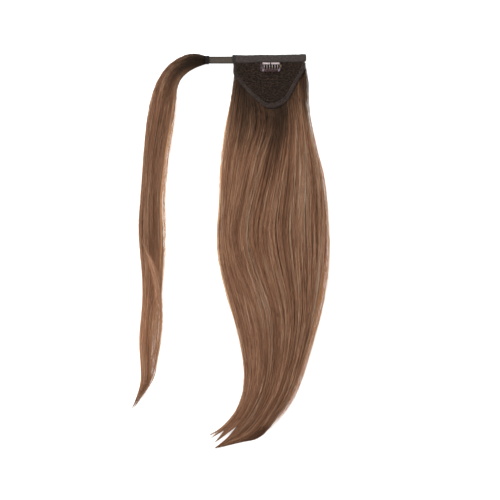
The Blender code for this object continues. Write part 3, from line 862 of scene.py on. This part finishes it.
def wrap_width(row):
    return math.hypot(row.right_x - row.left_x, row.right_y - row.left_y)


def wrap_inside(u, t):
    """The same share of the width within the loose hair along the strand's inner edge."""
    return u * (1 - float(np.interp(t, *WRAP_LOOSE)) / wrap_width(wrap_at(t)))


def wrap_surface(u, t, depth=0.0):
    row = wrap_at(t)
    return across(row, u, max(0.3, crest_height(row, u) - depth))


def drawn_in(u, t):
    """Below the crossing the main lock is narrower, and leaves a slit before the thin lock."""
    narrow = ease(SPLIT_FROM - 0.03, SPLIT_FROM + 0.03, t) * (1 - ease(SPLIT_TO - 0.05, SPLIT_TO + 0.03, t))
    return wrap_inside(u, t) * (1 - 0.36 * narrow)


def wrap_wisps(chance, wisps, each):
    """The main lock: wisps all round its section, which stay in their places down its length."""
    strands = []
    for k in range(wisps):
        angle = math.tau * (k + chance.random()) / wisps
        out, tone_shift = chance.uniform(0.86, 1.0), chance.gauss(0, 0.11)
        phase, sway, dip = chance.uniform(0, math.tau), chance.gauss(0, 0.026), chance.uniform(0.2, 0.7)
        ending = 1 - abs(chance.gauss(0, 0.055))
        for _ in range(each):
            turn, own = angle + chance.gauss(0, 0.09), chance.uniform(0, math.tau)
            start, end = chance.uniform(0.0, 0.01), ending - abs(chance.gauss(0, 0.012))
            half, stray = chance.uniform(0.18, 0.27), chance.gauss(0, 0.016)
            base_u = 0.5 + 0.5 * out * math.cos(turn)

            def place(t):
                row = wrap_at(t)
                u = base_u + sway * math.sin(phase + t * 12) + stray * math.sin(own + t * 34)
                edge = EDGE_HEIGHT * row.crest
                if math.sin(turn) > 0:
                    z = edge + (crest_height(row, base_u) - edge) * math.sin(turn) ** 0.4 * out
                    z += dip * math.sin(phase * 3 + t * 17) + 0.25 * math.sin(own * 3 + t * 40)
                else:
                    z = edge * (1 + 0.9 * math.sin(turn))
                return across(row, drawn_in(max(-0.02, min(1.02, u)), t), max(0.3, z))

            line = long_strand(chance, start, end, half, place, 0.9)
            tone = near(chance, float(np.interp(base_u, *WRAP_TONE)) + tone_shift, 0.10)
            strands.append(Strand(*line, tone, (start - 0.03 - float(np.interp(base_u, *WRAP_LAG)), end)))
    return strands


def crossing_strands(chance, wisps, each):
    """Wisps that cross the lock from its left to its right edge, and hang on as thin locks there."""
    strands = []
    for k in range(wisps):
        left = 0.10 + 0.42 * k / wisps
        right = (0.74, 0.84, 0.93, 0.99)[k % 4] + chance.uniform(-0.015, 0.015)
        begin, tone = 0.600 + 0.06 * k / wisps, near(chance, 0.50, 0.12)
        stop = chance.uniform(0.85, 0.95)
        for _ in range(each):
            side, own = chance.gauss(0, 0.022), chance.uniform(0, math.tau)
            start, end = begin - chance.uniform(0.0, 0.06), stop - abs(chance.gauss(0, 0.02))
            half = chance.uniform(0.15, 0.22)

            def place(t):
                row = wrap_at(t)
                over = ease(begin, begin + 0.095, t)
                u = left + (right - left) * over + side + 0.010 * math.sin(own + t * 30)
                u += (0.72 - u) * 0.7 * ease(0.86, 0.96, t)
                u = max(0.02, min(0.99, wrap_inside(u, t)))
                lift = -1.6 + 2.1 * ease(begin - 0.02, begin + 0.03, t)
                low = ease(0.70, 0.76, t)
                z = (crest_height(row, u) + lift) * (1 - low) + (2.2 + 0.8 * math.sin(own)) * low
                return across(row, u, max(0.4, z))

            line = long_strand(chance, start, end, half, place, 0.15, 19)
            strands.append(Strand(*line, near(chance, tone, 0.07), (start, end)))
    return strands


def loose_strand(chance):
    """A loose hair along the inner edge below the bend. They thin out to the outside."""
    start, out = chance.uniform(0.20, 0.50), min(6.5, chance.expovariate(1 / 2.4)) - 4.2
    end = start + chance.uniform(0.15, 0.36)
    phase, half = chance.uniform(0, math.tau), chance.uniform(0.07, 0.12)

    def place(share, t):
        row = wrap_at(t)
        bend = math.sin(math.pi * min(1.0, share * 1.1)) ** 0.6
        away = (out + 3.5) * bend - 3.5 + 0.3 * math.sin(phase + t * 9)
        u = 1 + away / wrap_width(row)
        return across(row, u, max(0.4, crest_height(row, min(1.0, u)) - 0.8))

    line = short_strand(16, start, end - start, half, (0.3, 5), (0.15, 4), place)
    return Strand(*line, chance.uniform(0.55, 0.95), (start + 0.1, end))


def tip_strand(chance):
    """A fine hair that curls away from the strand's tip."""
    start, end = chance.uniform(0.80, 0.90), chance.uniform(0.97, 1.0)
    u, drift, half = chance.uniform(0.1, 0.95), chance.uniform(-1.5, 5.5), chance.uniform(0.08, 0.13)

    def place(share, t):
        spot = across(wrap_at(t), u, 1.0 + 0.5 * math.sin(u * 30))
        spot.x += drift * share ** 2
        return spot

    line = short_strand(12, start, end - start, half, (0.3, 5), (0.15, 3), place)
    return Strand(*line, chance.uniform(0.5, 0.9), (start, end))


def wrap_core(along, round_share):
    """The body of the strand, just inside its wisps."""
    t, turn = 0.002 + along * 0.908, math.tau * round_share
    row = wrap_at(t)
    width = 0.41 * (1 - 0.6 * ease(0.82, 0.91, t))
    u = drawn_in(0.5 + width * math.cos(turn), t)
    edge = EDGE_HEIGHT * row.crest
    if math.sin(turn) > 0:
        return across(row, u, edge + (row.crest * 0.72 - edge) * math.sin(turn))
    return across(row, u, max(0.5, edge * (1 + 0.75 * math.sin(turn))))


wrap_body = draw_along("wrap_body", 20, 80, wrap_core)
wear(wrap_body, core_finish("wrap_under_locks"), "hairpiece", "hair_strand", "wrap_strand")
groups = {
    "wrap_locks": wrap_wisps(chance, 184, 6),
    "wrap_crossing": crossing_strands(chance, 20, 7),
    "wrap_loose": [loose_strand(chance) for _ in range(110)],
    "wrap_tip": [tip_strand(chance) for _ in range(40)],
    "wrap_flyaways": [flyaway(chance, wrap_surface, (0, 1), (0.10, 0.8), 0.05) for _ in range(60)],
}
for name, strands in groups.items():
    look = thin_hair_material if name in ("wrap_loose", "wrap_flyaways") else wrap_material
    wear(lay_strands(name, strands), look, "hairpiece", "hair_strand", "wrap_strand")


# Base panel: one layer of close dark net, cut to a rounded wedge and lined with a finer net. The wefts
# of hair are sewn to its other side, so rows of their stitches show through, some in brown thread.
PANEL_LEFT = 3.0
PANEL_WIDTH = 89.8
PANEL_TOP = -3.0
PANEL_FACE = 1.5
NET_PITCH = 1.3
YARN_LEFT = 3.6
YARN_TOP = -9.5
YARN_STEP = 0.62
YARN_SWAY = 0.42
WEFT_ROWS = 15
WEFT_PITCH = 3.75
BROWN_ROWS = (0, 2, 6, 7)
UNDER_CLIP = (34, 66, -24)

Edge = namedtuple("Edge", "x y width")
BASE_EDGE = [
    Edge(4.5, -11.6, 4.4),
    Edge(4.9, -24.2, 4.8),
    Edge(9.3, -31.2, 5.0),
    Edge(18.0, -42.4, 5.0),
    Edge(27.6, -52.4, 4.8),
    Edge(37.0, -60.8, 5.2),
    Edge(44.0, -65.8, 5.8),
    Edge(51.0, -66.8, 6.6),
    Edge(59.8, -64.0, 6.8),
    Edge(68.2, -58.2, 6.4),
    Edge(74.0, -49.6, 5.8),
    Edge(79.8, -38.2, 5.2),
    Edge(85.2, -28.6, 5.0),
    Edge(90.0, -18.8, 4.8),
    Edge(92.0, -10.6, 4.4),
]


def on_base(x, y, z):
    """A point in the base's own plane, which leans 8 degrees, as a point over the table."""
    lean_cos, lean_sin = math.cos(BASE_LEAN), math.sin(BASE_LEAN)
    return Vector((x, BASE_Y + y * lean_cos + z * lean_sin, BASE_Z - y * lean_sin + z * lean_cos))


def panel_end(x):
    """How far down the panel goes here, to the middle of its binding."""
    return float(np.interp(x, [edge.x for edge in BASE_EDGE], [edge.y for edge in BASE_EDGE]))


def panel_wave(x, y):
    """The net's slight waves between one row of stitches and the next, and its uneven lie."""
    row = 2.4 * math.exp(-((x - 48) / 26) ** 2)
    return 0.16 * math.cos((y + row) * math.tau / 3.9) + 0.22 * noise.noise((x * 0.09, y * 0.09, 3.0))


def weld(bm):
    bmesh.ops.remove_doubles(bm, verts=bm.verts, dist=1e-6)


def lay_thread(name, lines, half):
    """Thread laid along lines of points, six-sided, with shut ends."""
    curve = bpy.data.curves.new(name, "CURVE")
    curve.dimensions = "3D"
    curve.bevel_depth = half * MM
    curve.bevel_resolution = 1
    curve.use_fill_caps = True
    for line in lines:
        add_line(curve, line, [1.0] * len(line))
    return new_piece(name, skin(name, curve, weld))


def place_in_mm(finish):
    """Where a point is, in millimetres."""
    at = finish.node("TexCoord", None, None, "Object")
    return finish.node("VectorMath", {"operation": "SCALE"}, {0: at, "Scale": 1 / MM})


def speckle(finish, at, scale, detail=2.0):
    return finish.node("TexNoise", None, {"Vector": at, "Scale": scale, "Detail": detail, "Roughness": 0.6})


def net_finish():
    finish = Finish("dark_net", Roughness=0.95, Specular_IOR_Level=0.1)
    at = place_in_mm(finish)
    x, y, _ = finish.parts(at)
    wale = (x * (math.tau / NET_PITCH)).maths("SINE")
    course = (y * (math.tau / 1.15) + wale * 0.9).maths("SINE")
    knit = wale * 0.25 + course * 0.25 + 0.5
    rows = finish.node("CombineXYZ", None, {0: x * 0.45, 1: y})
    look = knit * 0.35 + speckle(finish, rows, 0.75, 3.0) * 1.25 + speckle(finish, at, 2.4) * 0.5 - 0.57
    colour = finish.ramp(look, [(0.1, 6, 5, 4), (0.5, 25, 20, 17), (0.9, 104, 82, 68)])
    return finish.feed(Base_Color=colour, Normal=finish.bump(0.7, 0.0003, look))


def thread_finish(name, dark, pale, roughness=0.75):
    finish = Finish(name, Roughness=roughness, Specular_IOR_Level=0.15)
    twist = speckle(finish, place_in_mm(finish), 2.6, 3.0)
    colour = finish.ramp(twist, [(0.3, *dark), (0.75, *pale)])
    return finish.feed(Base_Color=colour, Normal=finish.bump(0.5, 0.0001, twist))


sheet = bmesh.new()
bmesh.ops.create_grid(sheet, x_segments=90, y_segments=60, size=0.5)
for vert in sheet.verts:
    x = PANEL_LEFT + (vert.co.x + 0.5) * PANEL_WIDTH
    y = PANEL_TOP + (panel_end(x) - PANEL_TOP) * (0.5 - vert.co.y)
    vert.co = on_base(x, y, PANEL_FACE - 0.35 + panel_wave(x, y)) * MM
bmesh.ops.recalc_face_normals(sheet, faces=sheet.faces)
for face in sheet.faces:
    face.smooth = True
net = new_piece("base_panel", bpy.data.meshes.new("base_panel"))
sheet.to_mesh(net.data)
sheet.free()
wall = net.modifiers.new("wall", "SOLIDIFY")
wall.thickness = 0.9 * MM
wall.offset = -1
wear(net, net_finish(), "hairpiece", "knit", "weft_base")

net_yarns = []
for k in range(int(89 / NET_PITCH)):
    x = YARN_LEFT + k * NET_PITCH
    side = 1 if k % 2 else -1
    line = []
    for j in range(int((YARN_TOP - panel_end(x)) / YARN_STEP) + 1):
        y = YARN_TOP - j * YARN_STEP
        sway = side * (YARN_SWAY if j % 2 else -YARN_SWAY)
        line.append(on_base(x + sway, y, PANEL_FACE - 0.16 + panel_wave(x, y)))
    if len(line) > 2:
        net_yarns.append(line)
net_material = thread_finish("net_yarn", (9, 7, 6), (70, 56, 47), 0.9)
wear(lay_thread("net_yarns", net_yarns, 0.15), net_material, "hairpiece", "knit", "weft_base")

chance = random.Random(7)
dark_rows, brown_rows = [], []
for row in range(WEFT_ROWS):
    top = -13.5 - row * WEFT_PITCH
    x = 5.5
    while x < 90.5:
        bend = 2.6 * math.exp(-((x - 48) / 24) ** 2) + 0.35 * math.sin(x * 0.4 + row)
        y = top - bend * (0.3 + row / WEFT_ROWS)
        step = chance.uniform(1.3, 1.9)
        in_clip = UNDER_CLIP[0] < x < UNDER_CLIP[1] and y > UNDER_CLIP[2]
        if y > panel_end(x) + 3.4 and not in_clip:
            face = PANEL_FACE + panel_wave(x, y)
            dip, turn = chance.uniform(-0.15, 0.15), chance.uniform(-0.2, 0.2)
            line = [on_base(x, y, face - 0.3), on_base(x + step * 0.3, y + dip, face + 0.14)]
            line.append(on_base(x + step * 0.7, y + dip + turn, face + 0.14))
            line.append(on_base(x + step, y + turn, face - 0.3))
            brown = row in BROWN_ROWS and noise.noise((x * 0.06, row * 1.7, 1.0)) > -0.12
            (brown_rows if brown else dark_rows).append(line)
        x += step + chance.uniform(0.3, 0.7)
black_thread = thread_finish("black_thread", (10, 9, 9), (42, 36, 34))
brown_thread = thread_finish("brown_thread", (38, 24, 19), (84, 56, 45))
wear(lay_thread("weft_stitches", dark_rows, 0.17), black_thread, "hairpiece", "knit", "weft_base")
wear(lay_thread("weft_stitches_brown", brown_rows, 0.16), brown_thread, "hairpiece", "knit", "weft_base")


# Edge binding: a soft ribbed tape, folded over the panel's edge all round below the band and sewn
# through with one row of small stitches.
BINDING_LOW = -1.2
BINDING_HIGH = 2.7
SEAM = -0.35
SEAM_STITCHES = 112


def edge_at(share):
    """The binding's middle and width at this share of its length."""
    spot = share * (len(BASE_EDGE) - 1)
    i = min(int(spot), len(BASE_EDGE) - 2)
    near_by = [BASE_EDGE[max(0, min(len(BASE_EDGE) - 1, i + k))] for k in (-1, 0, 1, 2)]
    return Edge(*(catmull_rom(*values, spot - i) for values in zip(*near_by)))


def outward(share):
    """The way out from the panel, square to the binding."""
    before, after = edge_at(max(0.0, share - 0.004)), edge_at(min(1.0, share + 0.004))
    along = Vector((after.x - before.x, after.y - before.y)).normalized()
    return Vector((along.y, -along.x))


def binding_place(along, round_share):
    edge, out = edge_at(along), outward(along)
    flat, thick = boxy(math.tau * round_share, 0.6, 0.75)
    rib = 0.10 * math.sin(along * 620) + 0.16 * noise.noise((along * 60, flat * 1.5, 4.0))
    half = edge.width / 2 + 0.3 * noise.noise((along * 22, 0.0, 9.0)) + rib
    groove = 0.22 * math.exp(-((flat - SEAM) / 0.16) ** 2) if thick > 0 else 0.0
    swell = ((BINDING_HIGH - BINDING_LOW) / 2 - 0.1) * thick * (1 - 0.18 * flat * flat)
    height = (BINDING_LOW + BINDING_HIGH) / 2 + swell - groove + rib * thick
    return on_base(edge.x + out.x * half * flat, edge.y + out.y * half * flat, height)


def tape_finish(name, stops, across_pitch):
    """A soft ribbed tape, whose ribs run across it. Its flow map runs round it and along it."""
    finish = Finish(name, Roughness=0.95, Specular_IOR_Level=0.1, Sheen_Weight=0.05)
    at = place_in_mm(finish)
    _, along = finish.flow("flow")
    ribs = (along * across_pitch + speckle(finish, at, 0.5) * 5).maths("SINE")
    look = ribs * 0.16 + speckle(finish, at, 1.6, 3.0) * 0.9 + speckle(finish, at, 0.25) * 0.35 - 0.12
    return finish.feed(Base_Color=finish.ramp(look, stops), Normal=finish.bump(0.7, 0.0004, look))


binding_look = tape_finish("binding_rib", [(0.2, 14, 11, 10), (0.52, 42, 34, 31), (0.85, 100, 86, 78)], 1400)
edge_tape = draw_along("edge_tape", 26, 330, binding_place)
wear(edge_tape, binding_look, "hairpiece", "binding_tape", "edge_binding")

tape_stitches = []
for k in range(SEAM_STITCHES):
    share = 0.012 + 0.976 * k / (SEAM_STITCHES - 1)
    line = []
    for ahead, lift in ((-0.0030, -0.3), (-0.0012, 0.16), (0.0012, 0.16), (0.0030, -0.3)):
        edge, out = edge_at(share + ahead), outward(share + ahead)
        reach = SEAM * edge.width / 2
        line.append(on_base(edge.x + out.x * reach, edge.y + out.y * reach, BINDING_HIGH - 0.3 + lift))
    tape_stitches.append(line)
stitches = lay_thread("edge_stitches", tape_stitches, 0.16)
wear(stitches, black_thread, "hairpiece", "binding_tape", "edge_binding")


# Loop band: a thick brushed tape folded over the base's straight edge. Its short loops take the hook
# strip of the strap, and its left end is folded back on itself, where the strap comes out.
Station = namedtuple("Station", "x top bottom")
BAND = [
    Station(0.8, -0.5, -11.0),
    Station(3.5, -0.4, -11.0),
    Station(20.0, -0.9, -10.7),
    Station(38.0, -0.3, -10.1),
    Station(56.0, -0.5, -9.9),
    Station(75.0, 0.1, -9.6),
    Station(93.0, 0.4, -9.2),
    Station(94.8, 0.4, -8.6),
]
BAND_LOW = -1.5
BAND_HIGH = 3.0
FOLD_END = 5.8
LOOPS = 1100
EDGE_LOOPS = 0.25


def band_edges(x):
    stations = [station.x for station in BAND]
    top = float(np.interp(x, stations, [station.top for station in BAND]))
    return top, float(np.interp(x, stations, [station.bottom for station in BAND]))


def band_place(along, round_share):
    x = BAND[0].x + (BAND[-1].x - BAND[0].x) * along
    top, bottom = band_edges(x)
    flat, thick = boxy(math.tau * round_share, 0.35, 0.45)
    end = min(1.0, 0.86 + 30 * min(along, 1 - along))
    fuzz = 0.14 * noise.noise((x * 0.8, flat * 4, thick * 3)) + 0.1 * noise.noise((x * 2.3, flat * 9, 2.0))
    half = (top - bottom) / 2 - 0.15 + fuzz
    block = 0.12 if x < FOLD_END else 0.0
    height = (BAND_HIGH - BAND_LOW) / 2 - 0.2 + block + fuzz
    y = (top + bottom) / 2 + half * flat * end
    return on_base(x, y, (BAND_HIGH + BAND_LOW) / 2 + height * thick * end)


def brushed_finish():
    finish = Finish("brushed_loops", Roughness=1.0, Specular_IOR_Level=0.1, Sheen_Weight=0.2,
                    Sheen_Roughness=0.6)
    at = place_in_mm(finish)
    x, _, _ = finish.parts(at)
    look = speckle(finish, at, 0.55, 4.0) * 0.7 + speckle(finish, at, 2.8) * 0.5 - 0.08
    nap = finish.ramp(look, [(0.2, 30, 25, 24), (0.55, 58, 50, 48), (0.95, 112, 100, 95)])
    colour = finish.mix(x.maths("LESS_THAN", 5.6) * 0.75, nap, srgb(30, 26, 25))
    return finish.feed(Base_Color=colour, Normal=finish.bump(1.0, 0.0005, look))


wear(draw_along("loop_tape", 36, 120, band_place), brushed_finish(), "hairpiece", "band_tape", "loop_band")

nap = []
for _ in range(LOOPS):
    x = chance.uniform(5.9, 94.0)
    top, bottom = band_edges(x)
    share = chance.random()
    lean = chance.uniform(0, math.pi)
    reach, rise = chance.uniform(0.3, 0.65), chance.uniform(0.35, 0.75)
    side = Vector((math.cos(lean), math.sin(lean))) * reach
    if chance.random() < EDGE_LOOPS:
        push = 1 if chance.random() < 0.5 else -1
        y, face = (top if push > 0 else bottom), chance.uniform(0.2, BAND_HIGH - 0.4)
        foot, bulge = -0.3 * push, rise * 0.4 * push
        bends = [(-1, foot, 0), (-0.6, bulge, 0), (0, rise * 0.6 * push, 0.1), (0.6, bulge, 0), (1, foot, 0)]
    else:
        y = bottom + (top - bottom) * share
        face = BAND_HIGH - 0.3 - 0.8 * max(0.0, abs(2 * share - 1) - 0.8)
        profile = ((-1, -0.1), (-0.7, rise * 0.7), (0, rise), (0.7, rise * 0.7), (1, -0.1))
        bends = [(out, side.y * out, up) for out, up in profile]
    nap.append([on_base(x + side.x * out, y + away, face + up) for out, away, up in bends])
loop_yarn = thread_finish("loop_yarn", (52, 46, 44), (124, 112, 106), 0.95)
wear(lay_thread("band_loops", nap, 0.07), loop_yarn, "hairpiece", "band_tape", "loop_band")


# Hook strap: a narrow woven tape, sewn into the band's left end. It carries the wrapping strand and
# closes round the ponytail. Its selvedges are firmer and darker than the ribs between.
STRAP_HEIGHT = 8.4
STRAP_THICK = 1.1
STRAP_TOP = -2.8
STRAP_LEFT = -30.0
STRAP_RIGHT = 20.5
STRAP_SAG = 0.5
STRAP_Z = 0.75
WARP_PITCH = 1.35
WEFT_PICK = 0.62


def strap_place(along, round_share):
    x = STRAP_LEFT + (STRAP_RIGHT - STRAP_LEFT) * along
    flat, thick = boxy(math.tau * round_share, 0.3, 0.55)
    rib = 0.07 * math.cos(flat * math.tau * 3) if abs(flat) < 0.85 else 0.1
    free = max(0.0, min(1.0, (0.6 - x) / 29.0))
    sag = STRAP_SAG * math.sin(math.pi * free)
    flutter = 0.05 * noise.noise((x * 0.7, flat, 1.0))
    y = STRAP_TOP - STRAP_HEIGHT / 2 + (STRAP_HEIGHT / 2 + 0.4) * flat + flutter
    return on_base(x, y, STRAP_Z - sag * 0.6 + (STRAP_THICK / 2 + rib - 0.06) * thick)


def woven_finish():
    finish = Finish("woven_strap", Roughness=0.8, Specular_IOR_Level=0.25, Sheen_Weight=0.1)
    at = place_in_mm(finish)
    x, y, _ = finish.parts(at)
    down = y - (BASE_Y + STRAP_TOP - STRAP_HEIGHT / 2 + 0.1)
    selvedge = ((down.maths("ABSOLUTE") - 2.9) * 1.1).maths("MAXIMUM", 0.0).maths("MINIMUM", 1.0)
    warp = (down * (math.tau / WARP_PITCH)).maths("SINE")
    weft = (x * (math.tau / WEFT_PICK) + warp * 1.4).maths("SINE")
    look = warp * 0.16 + weft * 0.12 + speckle(finish, at, 1.2, 3.0) * 0.5 + 0.22
    body = finish.ramp(look, [(0.15, 38, 33, 28), (0.5, 66, 58, 50), (0.9, 106, 96, 84)])
    colour = finish.mix(selvedge * 0.85, body, srgb(34, 29, 26))
    return finish.feed(Base_Color=colour, Normal=finish.bump(0.8, 0.0003, look))


wear(draw_along("woven_strap", 40, 110, strap_place), woven_finish(), "hairpiece", "strap_tape", "hook_strap")


# Collar: close turns of dark thread, wound and glued over the strap's end and the wrapping strand's
# root.
COLLAR_LEFT = -33.3
COLLAR_RIGHT = -28.4
COLLAR_HEIGHT = 11.2
COLLAR_THICK = 6.0
COLLAR_Y = -7.0
COLLAR_TURNS = 9
TURN_STEPS = 40
THREAD_HALF = 0.3


def collar_point(x, turn, inset):
    flat, thick = boxy(turn, 0.8, 0.8)
    y = COLLAR_Y + (COLLAR_HEIGHT / 2 - inset) * flat
    return on_base(x, y, STRAP_Z + (COLLAR_THICK / 2 - inset) * thick)


def collar_core(along, round_share):
    x = COLLAR_LEFT + 0.3 + (COLLAR_RIGHT - COLLAR_LEFT - 0.6) * along
    return collar_point(x, math.tau * round_share, 0.5)


collar_thread = thread_finish("collar_thread_wound", (10, 8, 7), (40, 33, 30), 0.7)
sleeve = draw_along("collar_core", 28, 6, collar_core)
wear(sleeve, collar_thread, "hairpiece", "collar_thread", "strand_collar")
winding = []
for k in range(COLLAR_TURNS * TURN_STEPS + 1):
    share = k / (COLLAR_TURNS * TURN_STEPS)
    x = COLLAR_LEFT + THREAD_HALF + (COLLAR_RIGHT - COLLAR_LEFT - 2 * THREAD_HALF) * share
    uneven = 0.12 * noise.noise((share * 20, 0.0, 5.0))
    inset = THREAD_HALF + 0.02 + abs(uneven)
    winding.append(collar_point(x + uneven, math.tau * share * COLLAR_TURNS, inset))
turns = lay_thread("collar_winding", [winding], THREAD_HALF)
wear(turns, collar_thread, "hairpiece", "collar_thread", "strand_collar")


# Snap comb: a small steel clip in lacquer, sewn to the panel through the holes in its tabs. Its comb
# turns on two small arms of its frame and snaps shut against a rail.
CLIP_X = 50.0
CLIP_Y = -11.7
CLIP_Z = 1.8
TEETH_TIPS_Y = 224.4
COMB_DEPTH = 16.0
RAIL_ENDS = (40.6, 59.8)
SPINE_LOOP = ((1.25, 0.95), (1.25, 1.75), (-0.4, 1.95), (-2.0, 1.75), (-2.0, 0.95))
# The comb's colour from the teeth's tips up: dark, then a painted highlight along the spine.
COMB_STOPS = [
    (0.00, 70, 46, 44),
    (0.30, 62, 46, 46),
    (0.52, 72, 60, 60),
    (0.66, 170, 156, 154),
    (0.78, 176, 162, 162),
    (0.90, 176, 160, 160),
    (1.00, 206, 192, 192),
]


def lacquer(name, roughness, colour):
    """Lacquered metal, a little worn. Colour gives its colour by the place, with painted highlights, and by
    how worn it is there.
    """
    finish = Finish(name, Metallic=1.0, Specular_Tint=(1.0, 0.85, 0.75, 1.0))
    at = place_in_mm(finish)
    x, y, _ = finish.parts(at)
    worn = speckle(finish, at, 0.8, 4.0)
    bump = finish.bump(0.15, 0.00005, worn)
    return finish.feed(Base_Color=colour(finish, x, y, worn), Roughness=worn * 0.2 + roughness, Normal=bump)


def comb_colour(finish, x, y, worn):
    """Dark down to the teeth's tips, with a painted highlight along the spine."""
    return finish.ramp((y + worn * 0.8 - TEETH_TIPS_Y) / COMB_DEPTH, COMB_STOPS)


def frame_colour(finish, x, y, worn):
    """Dark too, with a painted highlight at both ends of the rail."""
    body = finish.ramp(worn, [(0.3, 52, 41, 41), (0.8, 82, 67, 68)])
    # Painted highlight at both rail ends.
    left, right = [(x - end).maths("ABSOLUTE") for end in RAIL_ENDS]
    rail_end_highlight = finish.ramp(left.maths("MINIMUM", right) * 0.5, [(0.0, 255, 255, 255), (1.0, 0, 0, 0)])
    return finish.mix(rail_end_highlight, body, srgb(128, 118, 128))


def brass_colour(finish, x, y, worn):
    return finish.ramp(worn, [(0.3, 110, 92, 56), (0.8, 176, 150, 92)])


for node, material in (
    ("clip_frame", lacquer("bronze_frame", 0.2, frame_colour)),
    ("clip_comb", lacquer("bronze_teeth", 0.22, comb_colour)),
    ("clip_rivet", lacquer("brass_eyelet", 0.2, brass_colour)),
):
    for slot in nodes[node].material_slots:
        slot.material = material


def on_clip(*points):
    return [on_base(CLIP_X + x, CLIP_Y + y, CLIP_Z + z) for x, y, z in points]


spine_thread = []
for turn in range(3):
    x = -0.9 + turn * 0.42
    spine_thread.append(on_clip(*((x, y, z) for y, z in SPINE_LOOP)))
wear(lay_thread("spine_thread", spine_thread, 0.2), black_thread, "clip_comb", "knit")

sewing = []
for hole_y in (-0.6, -4.5, -8.3):
    for turn in (-1, 0, 1):
        y = hole_y + turn * 0.28
        down = [(-12.9, hole_y + turn * 0.12, 0.1), (-13.1, hole_y + turn * 0.15, 0.85), (-13.7, y, 1.0)]
        sewing.append(on_clip(*down, (-14.4, y, 0.85), (-14.9, y * 1.01, 0.1), (-15.0, y, -0.6)))
for turn in range(4):
    y = -8.6 + (turn - 1.5) * 0.4
    sewing.append(on_clip((12.0, y, -0.5), (12.2, y, 0.9), (12.9, y, 1.1), (13.6, y, 0.9), (13.9, y, -0.5)))
wear(lay_thread("clip_sewing", sewing, 0.2), black_thread, "hairpiece", "knit")


bpy.data.objects.remove(strand_shape)
